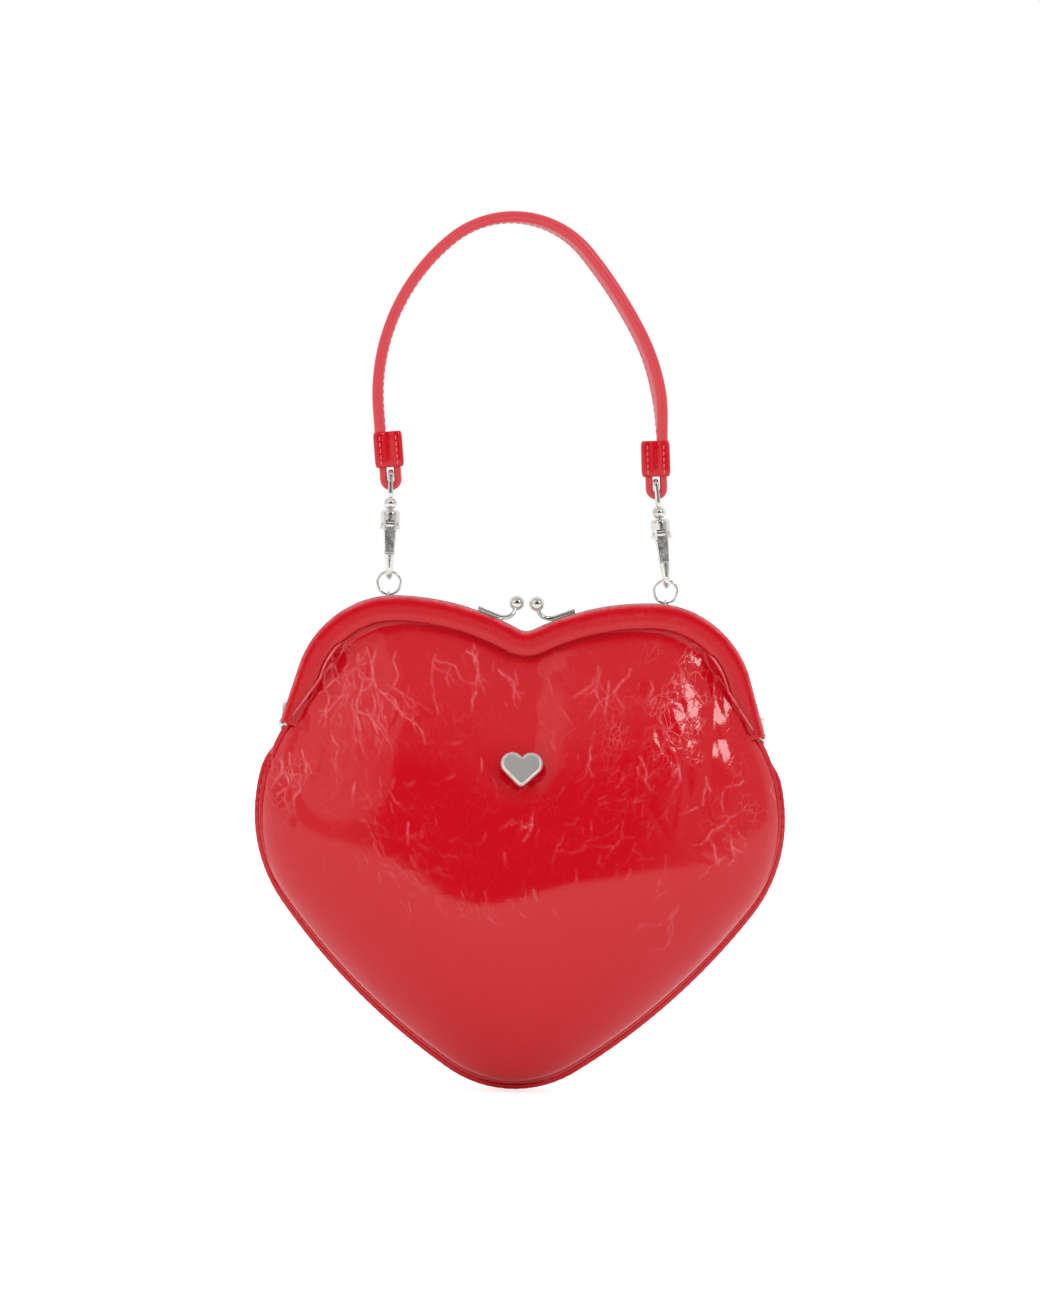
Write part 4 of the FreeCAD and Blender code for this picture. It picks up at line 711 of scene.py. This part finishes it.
panel_leather = make_patent("crinkled_patent_panel", LEATHER_RED, 0.9 * MM, 0.09)
FRONT_PATCHES = [(56.0, -22.0, 7.0, 12.0, 0.9), (-82.0, -52.0, 5.0, 9.0, 0.7), (36.0, -34.0, 7.0, 6.0, 0.5),
                 (-64.0, -8.0, 5.0, 4.0, 0.5), (76.0, -60.0, 7.0, 10.0, 0.35)]
FRONT_PUCKERS = [(-58.0, -28.0, 7.0, 16.0, 26, 0.16), (-80.0, -50.0, 5.0, 10.0, 14, 0.26),
                 (54.0, -24.0, 9.0, 14.0, 30, 0.20), (0.0, -30.0, 34.0, 16.0, 30, 0.10),
                 (74.0, -62.0, 8.0, 12.0, 12, 0.16), (10.0, -84.0, 40.0, 14.0, 14, 0.05)]
FRONT_CREASES = [(-60.0, -10.0, 6.0, 3.0, 10, 34.0, 0.20), (-56.0, -30.0, 6.0, 8.0, 8, 15.0, 0.15),
                 (-30.0, -7.0, 8.0, 3.0, 5, 20.0, 0.45), (-15.0, -12.0, 8.0, 4.0, 4, 14.0, 0.60),
                 (-82.0, -48.0, 4.0, 8.0, 12, 9.0, -0.15), (30.0, -14.0, 10.0, 6.0, 7, 16.0, -0.25),
                 (55.0, -34.0, 8.0, 9.0, 9, 10.0, 0.10), (76.0, -60.0, 7.0, 10.0, 8, 10.0, -0.35),
                 (0.0, -66.0, 45.0, 20.0, 16, 8.0, 0.20)]
FRONT_SCRATCHES = [(-55.0, -68.0, 8.0, 6.0, 26, 5.0, 0.90), (-38.0, -82.0, 7.0, 5.0, 26, 5.0, 0.90),
                   (-14.0, -94.0, 12.0, 2.5, 30, 4.0, 0.60), (15.0, -55.0, 25.0, 14.0, 56, 5.0, -0.60),
                   (40.0, -70.0, 10.0, 10.0, 30, 5.0, -0.50), (0.0, -28.0, 28.0, 8.0, 46, 4.0, 0.40),
                   (46.0, -42.0, 10.0, 10.0, 46, 4.0, -0.70), (-62.0, -40.0, 9.0, 12.0, 40, 4.0, 0.30),
                   (57.0, -94.0, 0.5, 0.5, 2, 18.0, -0.97)]
BACK_SCRATCHES = [(0.0, -60.0, 45.0, 30.0, 120, 4.0, 0.50)]
BACK_PATCHES = [(-50.0, -22.0, 14.0, 14.0, 0.5), (50.0, -24.0, 14.0, 14.0, 0.5)]
BACK_PUCKERS = [(0.0, -40.0, 50.0, 24.0, 80, 0.18), (0.0, -95.0, 45.0, 25.0, 20, 0.10)]
BACK_CREASES = [(-52.0, -14.0, 10.0, 5.0, 10, 24.0, 0.15), (52.0, -14.0, 10.0, 5.0, 10, 24.0, -0.15),
                (0.0, -40.0, 45.0, 24.0, 24, 12.0, 0.0)]


def make_panel(name, way, seed, patches, soft_folds, crease_clusters, scratch_clusters):
    """Panel as a closed shell with its own flat map in metres, so that the cracks stay on the leather."""
    scratches = crease_lines(seed + 3, scratch_clusters) * (1.0, 1.0, 1.0, 1.0, SCRATCH_STRENGTH)
    lines = np.concatenate([crease_lines(seed + 2, crease_clusters), scratches])
    # mark holds the crease lines, the scratches and the painted highlight on the rolled flap edge.
    outer, mark = creased(panel_sheet(*PANEL_GRID, way, 0.0, True), way, seed, soft_folds, lines)
    inner = panel_sheet(*PANEL_GRID, way, LEATHER_THICK, False)[0][::INNER_STEP, ::INNER_STEP]
    points, faces = shell(outer, inner, INNER_STEP)
    mark = np.concatenate([mark.ravel(), np.zeros(inner.shape[0] * inner.shape[1])])
    crinkle = crinkle_at(points[:, 0], points[:, 2], patches)
    return add_piece(name, points, faces, panel_leather, points[:, [0, 2]] + MAP_CENTRE,
                     {"crinkle": crinkle, "lines": mark})


front_panel = make_panel(
    "front_panel", -1, 11, FRONT_PATCHES, FRONT_PUCKERS, FRONT_CREASES, FRONT_SCRATCHES)
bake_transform(front_panel)
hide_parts("front_panel_upper", "front_panel_lower")
back_panel = make_panel("back_leather", 1, 23, BACK_PATCHES, BACK_PUCKERS, BACK_CREASES, BACK_SCRATCHES)
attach(back_panel, "bag")
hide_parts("back_panel")

# Linings: plain woven cotton in a dark red, one behind each panel. They are glued at the frame and sewn into
# the same seam, and lie a few millimetres inside the leather.
LINING_WARP = (0.20, 0.012, 0.02)
LINING_WEFT = (0.28, 0.025, 0.035)
LINING_GRID = (61, 121)
LINING_FACE, LINING_BACK = 2.4 * MM, 3.0 * MM
WEAVE_SCALE, WEAVE_WAVER, WEAVE_DULLNESS = 260.0, 0.6, 0.85


def make_lining_cloth():
    """Plain weave: two sets of threads at right angles as crossed waves in colour and bump."""
    material, tree, shader = new_material("plain_weave")[:3]
    source = tree.nodes.new("ShaderNodeUVMap")
    source.uv_map = "leather"
    waves = []
    for direction in ("X", "Y"):
        wave = tree.nodes.new("ShaderNodeTexWave")
        wave.bands_direction = direction
        wave.inputs["Scale"].default_value = WEAVE_SCALE
        wave.inputs["Distortion"].default_value = WEAVE_WAVER
        wire(tree, source.outputs["UV"], wave.inputs["Vector"])
        waves.append(wave.outputs["Fac"])
    weave = combine(tree, "MULTIPLY", *waves)
    wire(tree, two_tones(tree, weave, LINING_WARP, LINING_WEFT), shader.inputs["Base Color"])
    shader.inputs["Roughness"].default_value = WEAVE_DULLNESS
    add_bump(tree, weave, shader, 0.5, 0.3 * MM)
    return material


lining_cloth = make_lining_cloth()


def make_lining(name, way, held_by, *nodes):
    """Thin closed sheet of cloth inside a panel, cut as a heart and held in the frame and the seam."""
    outer = panel_sheet(*LINING_GRID, way, LINING_FACE, False)[0]
    inner = panel_sheet(*LINING_GRID, way, LINING_BACK, False)[0]
    points, faces = shell(outer, inner, 1)
    lining = add_piece(name, points, faces, lining_cloth, points[:, [0, 2]] + MAP_CENTRE)
    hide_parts(*nodes)
    return lining


front_lining = make_lining("front_lining", -1, ["front_frame", "front_panel"],
                           "front_lining_upper", "front_lining_lower")
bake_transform(front_lining)
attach(make_lining("back_cloth", 1, ["back_frame", "back_leather"], "back_lining"), "bag")

# Piping: a thin cord wrapped in a strip of the same leather. The strip's edges are caught in the seam of the
# two panels, from one hinge round the tip to the other, and its ends are thinned and drawn in at the hinges.
PIPING_END = 0.05
PIPING_DRAW, PIPING_THIN = 2.5 * MM, 0.5
PIPING_STITCHES, PIPING_UNEVEN = 105, 0.02
plain_leather = make_patent("smooth_patent_trim", LEATHER_RED, 0.5 * MM, 0.12, 0.10)


def make_piping():
    """Round section along the seam, a little uneven where the wrapping is drawn in by the stitches, and thin
    at its ends."""
    line = seam_line(PIPING_RADIUS, 700)
    share = np.linspace(0.0, 1.0, len(line))
    drawn_in = 1.0 - ease(np.minimum(share, 1.0 - share) / PIPING_END)
    line = line + (drawn_in * PIPING_DRAW)[:, None] * plane_normals(line)
    path, side, up = upright(line, MIDDLE_Y)
    turn = np.linspace(0.0, 2 * np.pi, 16, endpoint=False)[None, :]
    pull = np.linspace(0.0, 2 * np.pi * PIPING_STITCHES, len(path))[:, None]
    thickness = PIPING_RADIUS * (1.0 - PIPING_THIN * drawn_in[:, None])
    radius = thickness * (1.0 + PIPING_UNEVEN * np.cos(pull) * np.ones_like(turn))
    profile = np.stack([radius * np.cos(turn), radius * np.sin(turn)], axis=-1)
    return add_piece("seam_piping", *swept(path, side, up, profile), plain_leather)


seam_piping = make_piping()
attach(seam_piping, "bag")
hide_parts("piping")

# Frame bands: strips of the same leather glued round the outside of each frame half, rolled over a soft edge
# at the top, where a painted highlight lightens the rim, and turned in below, where the panel comes out.
BAND_END = 1.0 * MM
BAND_LIP = 0.15 * MM
BAND_BASE, BAND_CROWN = 5.55 * MM, 1.45 * MM
BAND_TURN_IN = [(-8.9, 5.3), (-7.0, 5.3), (-6.8, 5.75), (-0.5, 5.75)]
# Painted highlight along the band's top rim: its strength and its reach down the face, as a share.
RIM_HIGHLIGHT, RIM_SHARE = 0.8, 0.10


def make_band(half, way):
    """Flat band with a low crown: its face stands out by a steep arch over the height, and its foot turns
    in."""
    line = frame_line(0.0, HINGE_Z + BAND_END, 420)
    path, side, up = upright(line, MIDDLE_Y)
    share = np.linspace(0.0, 1.0, 22)
    crown = (1.0 - np.abs(2.0 * share - 1.0) ** 5) ** 0.5
    face = np.stack([BAND_LIP - (BAND_LIP + BAND_HEIGHT) * share, BAND_BASE + BAND_CROWN * crown], axis=1)
    turned_in = np.array(BAND_TURN_IN) * MM
    profile = np.concatenate([face, turned_in]) * (1.0, way)
    # Painted highlight: a lighter line along the top rim, carried in the lines attribute.
    rim = np.concatenate([RIM_HIGHLIGHT * np.exp(-(share / RIM_SHARE) ** 2), np.zeros(len(turned_in))])
    band = add_piece(half + "_band", *swept(path, side, up, profile), plain_leather,
                     values={"lines": np.tile(rim, len(line))})
    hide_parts(half + "_frame_facing")
    return band


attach(make_band("front", -1), "front_half")
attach(make_band("back", 1), "bag")

# Handle strap: a folded leather strap on edge to the front, stitched on its inner face along both edges, with
# a thinner tongue at each end that goes down through the eye of a snap hook and back up into its keeper.
# Strap red: the leather's red, made lighter and pinker by a painted highlight that stands in for the sheen on
# the strap's rounded edges.
STRAP_RED_WITH_PAINTED_SHEEN = (0.64, 0.044, 0.057)
STRAP_THICK = 3.9 * MM
STRAP_WIDE = 9.0 * MM
STRAP_CORNER = 1.9 * MM
STRAP_HIDDEN = 1.0 * MM
TONGUE_THICK = 2.5 * MM
TONGUE_WIDE = 7.4 * MM
TONGUE_CORNER = 0.7 * MM
TONGUE_SHORT = 2.2 * MM
STRAND_OFFSET = 2.55 * MM
KEEPER_START = 4.4 * MM
KEEPER_HEIGHT = 12.8 * MM
CLIP_LENGTH = 32.9 * MM
LEG_LENGTH = 25.3 * MM
LEFT_LEAN, LEFT_CLIP_LEAN, RIGHT_LEAN = -6.2, -0.8, -3.5
TWIST_ANGLE, TWIST_START, TWIST_GROWTH, TWIST_END = 17.0, 0.42, 0.25, 0.10
THREAD_RED = (0.70, 0.10, 0.13)
THREAD_PLY, THREAD_DULLNESS = 3000.0, 0.55
THREAD_SUNK = 0.17 * MM
STITCH_INSET = 2.1 * MM
STITCH_LENGTH, STITCH_RADIUS, STITCH_STEP = 2.1 * MM, 0.32 * MM, 4
HANDLE_ARCS = [(71.5 * MM, 49.2), (34.1 * MM, 139.3), (171.0 * MM, 150.5), (75.4 * MM, 180.0 + RIGHT_LEAN)]
left_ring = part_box("left_ring")
RING_WIRE_HALF = 0.5 * MM
RING_CROWN = left_ring[1].z - RING_WIRE_HALF
RING_SIDE = -(left_ring[0].x + left_ring[1].x) / 2


def heading(angle):
    """Unit direction in the XZ plane, clockwise from straight up."""
    return np.array([math.sin(math.radians(angle)), math.cos(math.radians(angle))])


def handle_line():
    """Middle of the strap from keeper to keeper: a straight leg, arcs that turn to one heading after another,
    and a straight leg down to the right keeper. Gives the line and the two bars it hangs on, as (x, z)."""
    left_bar = np.array([-RING_SIDE, RING_CROWN]) + CLIP_LENGTH * heading(LEFT_CLIP_LEAN)
    ahead = heading(LEFT_LEAN)
    foot = left_bar - STRAND_OFFSET * np.array([ahead[1], -ahead[0]])
    top = KEEPER_START + KEEPER_HEIGHT - STRAP_HIDDEN
    line = [np.stack([foot + top * ahead, foot + LEG_LENGTH * ahead])]
    point, angle = foot + LEG_LENGTH * ahead, LEFT_LEAN
    for radius, new_angle in HANDLE_ARCS:
        ahead = heading(angle)
        centre = point + radius * np.array([ahead[1], -ahead[0]])
        line.append(circle_points(centre, radius, 180.0 - angle, 180.0 - new_angle))
        point, angle = line[-1][-1], new_angle
    ahead = heading(angle)
    bar_line = point + STRAND_OFFSET * np.array([ahead[1], -ahead[0]])
    gap = bar_line - (RING_SIDE, RING_CROWN)
    along = gap @ ahead
    drop = -along - math.sqrt(along ** 2 - gap @ gap + CLIP_LENGTH ** 2)
    right_bar = bar_line + drop * ahead
    line.append(np.stack([point, point + (drop - top) * ahead]))
    return np.concatenate(line), left_bar, right_bar


def flat_section(thick, wide, corner, count=6):
    """Rounded rectangle, thick across and wide along the second axis."""
    turn = np.radians(np.linspace(0.0, 90.0, count))
    quarter = np.stack([np.cos(turn), np.sin(turn)], axis=1) * corner
    reach = np.array([thick / 2 - corner, wide / 2 - corner])
    spin = [quarter, quarter[::-1] * (-1, 1), quarter * (-1, -1), quarter[::-1] * (1, -1)]
    signs = [(1, 1), (-1, 1), (-1, -1), (1, -1)]
    return np.concatenate([part + reach * sign for part, sign in zip(spin, signs)])


def join(*shapes):
    """Several (points, faces) shapes as one."""
    points, faces, offset = [], [], 0
    for shape_points, shape_faces in shapes:
        points.append(shape_points)
        faces += [[index + offset for index in face] for face in shape_faces]
        offset += len(shape_points)
    return np.concatenate(points), faces


def tongue(bar, lean, way):
    """Tongue of one end: down one strand, round under the bar in a half circle and up the other strand."""
    ahead = heading(lean)
    across = np.array([ahead[1], -ahead[0]])
    top = KEEPER_START + KEEPER_HEIGHT
    turn = np.radians(np.linspace(0.0, -180.0, 40))[:, None]
    bend = bar + STRAND_OFFSET * (np.cos(turn) * across * way + np.sin(turn) * ahead)
    start = bar + STRAND_OFFSET * across * way + (top + STRAP_HIDDEN) * ahead
    stop = bar - STRAND_OFFSET * across * way + (top - TONGUE_SHORT) * ahead
    line = even_points(np.concatenate([[start], bend, [stop]]), 90)
    return swept(*upright(line, 0.0), flat_section(TONGUE_THICK, TONGUE_WIDE, TONGUE_CORNER))


def twisted(path, side, up):
    """The strap's directions turned about its line, a little on the right, where its inner face comes into
    view."""
    share = np.linspace(0.0, 1.0, len(path))
    turn = np.radians(TWIST_ANGLE) * ease((share - TWIST_START) / TWIST_GROWTH)
    turn = turn * ease((1.0 - share) / TWIST_END)
    cosine, sine = np.cos(turn)[:, None], np.sin(turn)[:, None]
    return path, cosine * side + sine * up, cosine * up - sine * side


# The strap's lighter colour is a painted highlight; its higher least roughness makes it duller.
strap_leather = make_patent("patent_strap_with_painted_sheen", STRAP_RED_WITH_PAINTED_SHEEN, 0.4 * MM, 0.30, 0.06)
strap_line, left_bar, right_bar = handle_line()
strap_line = even_points(strap_line, 320)
strap_path, strap_side, strap_up = twisted(*upright(strap_line, 0.0))
strap_shape = swept(strap_path, strap_side, strap_up, flat_section(STRAP_THICK, STRAP_WIDE, STRAP_CORNER))
tongues = [tongue(left_bar, LEFT_LEAN, -1), tongue(right_bar, RIGHT_LEAN, 1)]
strap_piece = add_piece("leather_strap", *join(strap_shape, *tongues), strap_leather)
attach(strap_piece, "handle")
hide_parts("handle_strap")


def make_thread():
    """Polyester sewing thread, a lighter red than the leather, with a low sheen."""
    material, tree, shader, place = new_material("sewing_thread")
    ply = noise(tree, place, THREAD_PLY, 2.0)
    wire(tree, two_tones(tree, ply, THREAD_RED, PALE_RED_CREASE_AND_HIGHLIGHT), shader.inputs["Base Color"])
    shader.inputs["Roughness"].default_value = THREAD_DULLNESS
    return material


def stitch_row(start, along, out, length, radius):
    """Short rounded threads, one at each start point: a ring of eight points carried along each stitch, with
    a radius that closes towards both ends as the fourth root of an arch."""
    reach = np.array([-1.0, -0.9, -0.6, 0.0, 0.6, 0.9, 1.0])
    swell = np.maximum((1.0 - reach ** 2) ** 0.25, 0.05)
    turn = np.linspace(0.0, 2 * np.pi, 8, endpoint=False)
    beside = np.cross(along, out)
    shapes = []
    for number in range(len(start)):
        path = start[number] + (reach * length / 2)[:, None] * along[number]
        profile = radius * swell[:, None, None] * np.stack([np.cos(turn), np.sin(turn)], axis=1)[None]
        side = np.tile(beside[number], (len(reach), 1))
        shapes.append(swept(path, side, np.tile(out[number], (len(reach), 1)), profile))
    return join(*shapes)


def strap_rows():
    """Two rows of stitches along the strap, on its inner face near both edges."""
    ahead = np.gradient(strap_path, axis=0)
    ahead /= np.linalg.norm(ahead, axis=1)[:, None]
    spots = np.arange(STITCH_STEP, len(strap_path) - STITCH_STEP, STITCH_STEP)
    rows = []
    for edge in (-1, 1):
        start = strap_path - (STRAP_THICK / 2 - THREAD_SUNK) * strap_side
        start = start + edge * (STRAP_WIDE / 2 - STITCH_INSET) * strap_up
        rows.append(stitch_row(start[spots], ahead[spots], strap_side[spots], STITCH_LENGTH, STITCH_RADIUS))
    return join(*rows)


thread = make_thread()
strap_stitches = add_piece("strap_stitches", *strap_rows(), thread)
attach(strap_stitches, "handle")

# Keepers: short leather sleeves wrapped round each folded end of the strap, drawn in along the middle of the
# front and back, and stitched down both edges.
KEEPER_SECTION = (10.3 * MM, 10.0 * MM, 1.6 * MM)
GROOVE_DEEP, GROOVE_HALF = 0.7 * MM, 1.7 * MM
GROOVED_FROM = 3.0 * MM
KEEPER_DRAWN = 0.10
KEEPER_STITCHES = np.arange(1.6, 12.0, 2.2) * MM
KEEPER_COLUMN, KEEPER_FACE = 2.9 * MM, 4.95 * MM
KEEPER_STITCH, KEEPER_THREAD = 1.6 * MM, 0.26 * MM


def make_keeper(side_name, bar, lean):
    """Rounded sleeve whose front and back faces dip in the middle; its ends are drawn in a little."""
    ahead = heading(lean)
    rows = np.linspace(0.0, 1.0, 25)
    start = np.array([bar[0], 0.0, bar[1]])
    up = np.array([ahead[0], 0.0, ahead[1]])
    path = start + (KEEPER_START + KEEPER_HEIGHT * rows)[:, None] * up
    across = np.tile((ahead[1], 0.0, -ahead[0]), (len(rows), 1))
    loop = flat_section(*KEEPER_SECTION)
    section = even_points(np.concatenate([loop, loop[:1]]), 73)[:-1]
    groove = GROOVE_DEEP * np.exp(-(section[:, 0] / GROOVE_HALF) ** 4) * np.sign(section[:, 1])
    groove *= np.abs(section[:, 1]) > GROOVED_FROM
    section = section - np.stack([np.zeros(len(section)), groove], axis=1)
    ends = 1.0 - KEEPER_DRAWN * (np.abs(2 * rows - 1) ** 8)
    profile = section[None] * ends[:, None, None]
    shape = swept(path, across, np.tile((0.0, 1.0, 0.0), (len(rows), 1)), profile)
    keeper = add_piece(side_name + "_leather_keeper", *shape, plain_leather)
    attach(keeper, "handle")
    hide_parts(side_name + "_keeper")
    spots = start + (KEEPER_START + KEEPER_STITCHES)[:, None] * up
    along = np.tile(up, (len(spots), 1))
    stitches = []
    for column in (-KEEPER_COLUMN, KEEPER_COLUMN):
        for face in (-1, 1):
            out = np.tile((0.0, face, 0.0), (len(spots), 1))
            row = spots + column * across[0] + KEEPER_FACE * out
            stitches.append(stitch_row(row, along, out, KEEPER_STITCH, KEEPER_THREAD))
    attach(add_piece(side_name + "_keeper_stitches", *join(*stitches), thread), "handle")


make_keeper("left", left_bar, LEFT_LEAN)
make_keeper("right", right_bar, RIGHT_LEAN)

# Gate springs: a thin leaf of plated spring steel in each snap hook. Its upper end is held under the hook's
# head, and its lower end leans on the back of the gate.
LEAF_THICK = 0.25 * MM
LEAF_WIDE = 1.6 * MM
LEAF_CORNER = 0.08 * MM
LEAF_TIP = 0.8


def make_gate_spring(side_name):
    """Flat strip on the straight line between the ends of the spring's solid, narrowing evenly to its tip;
    its width lies along the longer side of the upper end."""
    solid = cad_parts[side_name + "_gate_spring"].data
    corners = np.empty(len(solid.vertices) * 3, np.float32)
    solid.vertices.foreach_get("co", corners)
    corners = np.unique(np.round(corners.reshape(-1, 3).astype(float), 6), axis=0)
    upper = corners[corners[:, 2] > corners[:, 2].mean()]
    lower = corners[corners[:, 2] <= corners[:, 2].mean()]
    top, low = upper.mean(axis=0), lower.mean(axis=0)
    across = np.linalg.svd(upper - top)[2][0]
    out = np.cross(across, low - top) / np.linalg.norm(low - top)
    share = np.linspace(0.0, 1.0, 17)[:, None]
    narrowing = (1.0 - (1.0 - LEAF_TIP) * share)[..., None]
    profile = flat_section(LEAF_THICK, LEAF_WIDE, LEAF_CORNER, 3)[None] * narrowing
    count = len(share)
    shape = swept(top + share * (low - top), np.tile(out, (count, 1)), np.tile(across, (count, 1)), profile)
    leaf = add_piece(side_name + "_spring_leaf", *shape, nickel)
    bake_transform(leaf)
    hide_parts(side_name + "_gate_spring")


make_gate_spring("left")
make_gate_spring("right")

# Floor, light and camera: a plain pale floor under the tip, a white surround, and two round soft boxes high
# in front, a large one on the left and a small one on the right.
FLOOR_COLOUR = (0.93, 0.925, 0.92)
FLOOR_REACH, FLOOR_GAP, FLOOR_GLOW, FLOOR_DULLNESS = 6.0, 0.6 * MM, 0.6, 0.9
DAYLIGHT = 1.02
MIRRORED_BEHIND = (-0.35, 0.25, 0.06, 0.85)
MIRRORED_ABOVE = (0.45, 0.80, 0.0, 0.5)
MIRRORED_ASIDE = (0.25, 0.80, 0.02, 0.5)
KEY_PLACE, KEY_SIZE, KEY_POWER = (-1.15, -1.1, 0.8), 1.8, 3.6
FILL_PLACE, FILL_SIZE, FILL_POWER = (1.0, -1.0, 0.9), 0.36, 2.6
SENSOR_WIDTH = 36.0
VIEW_HEIGHT = 462.5 * MM
VIEW_DISTANCE, VIEW_FAR = 2.4, 50.0
VIEW_ROLL = 1.85
VIEW_RISE = 2.0
VIEW_CENTRE = (-4.6 * MM, MIDDLE_Y - 12.0 * MM, DIP_Z - 5.7 * MM)


def make_floor():
    """Large level sheet just under the tip of the purse."""
    low = TIP_Z - FLOOR_GAP
    corners = [(x * FLOOR_REACH, y * FLOOR_REACH, low) for x, y in ((-1, -1), (1, -1), (1, 1), (-1, 1))]
    mesh = bpy.data.meshes.new("floor")
    mesh.from_pydata(corners, [], [(0, 1, 2, 3)])
    floor = bpy.data.objects.new("floor", mesh)
    bpy.context.scene.collection.objects.link(floor)
    material, tree, shader = new_material("pale_floor")[:3]
    shader.inputs["Base Color"].default_value = (*FLOOR_COLOUR, 1.0)
    shader.inputs["Roughness"].default_value = FLOOR_DULLNESS
    shader.inputs["Specular IOR Level"].default_value = 0.0
    shader.inputs["Emission Color"].default_value = (1.0, 1.0, 1.0, 1.0)
    seen = tree.nodes.new("ShaderNodeLightPath").outputs["Is Camera Ray"]
    glow = combine(tree, "MULTIPLY", seen, FLOOR_GLOW)
    wire(tree, glow, shader.inputs["Emission Strength"])
    mesh.materials.append(material)


def make_world():
    """White surround for the camera; even for light; for reflections white behind the purse, half bright
    overhead and at both sides, and dark in front. Each mirrored row is a range of the direction and the two
    levels at its ends."""
    world = bpy.data.worlds.new("studio")
    bpy.context.scene.world = world
    world.use_nodes = True
    tree = world.node_tree
    background = tree.nodes["Background"]
    direction = tree.nodes.new("ShaderNodeTexCoord").outputs["Generated"]
    split = tree.nodes.new("ShaderNodeSeparateXYZ")
    wire(tree, direction, split.inputs["Vector"])
    behind = remap(tree, split.outputs["Y"], *MIRRORED_BEHIND)
    ceiling = remap(tree, split.outputs["Z"], *MIRRORED_ABOVE)
    aside = combine(tree, "ABSOLUTE", split.outputs["X"], 0.0)
    flats = remap(tree, aside, *MIRRORED_ASIDE)
    around = combine(tree, "MAXIMUM", combine(tree, "MAXIMUM", behind, ceiling), flats)
    path = tree.nodes.new("ShaderNodeLightPath")
    seen = tree.nodes.new("ShaderNodeMix")
    wire(tree, path.outputs["Is Glossy Ray"], seen.inputs["Factor"])
    seen.inputs["A"].default_value = DAYLIGHT
    wire(tree, around, seen.inputs["B"])
    level = tree.nodes.new("ShaderNodeMix")
    wire(tree, path.outputs["Is Camera Ray"], level.inputs["Factor"])
    wire(tree, seen.outputs["Result"], level.inputs["A"])
    level.inputs["B"].default_value = 1.0
    background.inputs["Color"].default_value = (1.0, 1.0, 1.0, 1.0)
    wire(tree, level.outputs["Result"], background.inputs["Strength"])


def add_softbox(name, place, target, size, power):
    """Round area lamp at a place, aimed at a target."""
    lamp = bpy.data.lights.new(name, "AREA")
    lamp.shape = "DISK"
    lamp.size = size
    lamp.energy = power
    light = bpy.data.objects.new(name, lamp)
    bpy.context.scene.collection.objects.link(light)
    light.location = place
    aim = Vector(target) - Vector(place)
    light.rotation_euler = aim.to_track_quat("-Z", "Y").to_euler()


make_floor()
make_world()
add_softbox("key_softbox", KEY_PLACE, VIEW_CENTRE, KEY_SIZE, KEY_POWER)
add_softbox("fill_softbox", FILL_PLACE, VIEW_CENTRE, FILL_SIZE, FILL_POWER)


def add_camera():
    """Long lens level with the purse, rolled as the photograph is, framing a known height at the purse."""
    data = bpy.data.cameras.new("camera")
    data.sensor_width = SENSOR_WIDTH
    data.lens = SENSOR_WIDTH * VIEW_DISTANCE / VIEW_HEIGHT
    data.clip_end = VIEW_FAR
    camera = bpy.data.objects.new("camera", data)
    bpy.context.scene.collection.objects.link(camera)
    rise = math.radians(VIEW_RISE)
    centre = np.array(VIEW_CENTRE)
    camera.location = centre + VIEW_DISTANCE * np.array([0.0, -math.cos(rise), math.sin(rise)])
    camera.rotation_euler = (math.pi / 2 - rise, -math.radians(VIEW_ROLL), 0.0)
    bpy.context.scene.camera = camera


add_camera()
bpy.context.scene.view_settings.view_transform = "Standard"
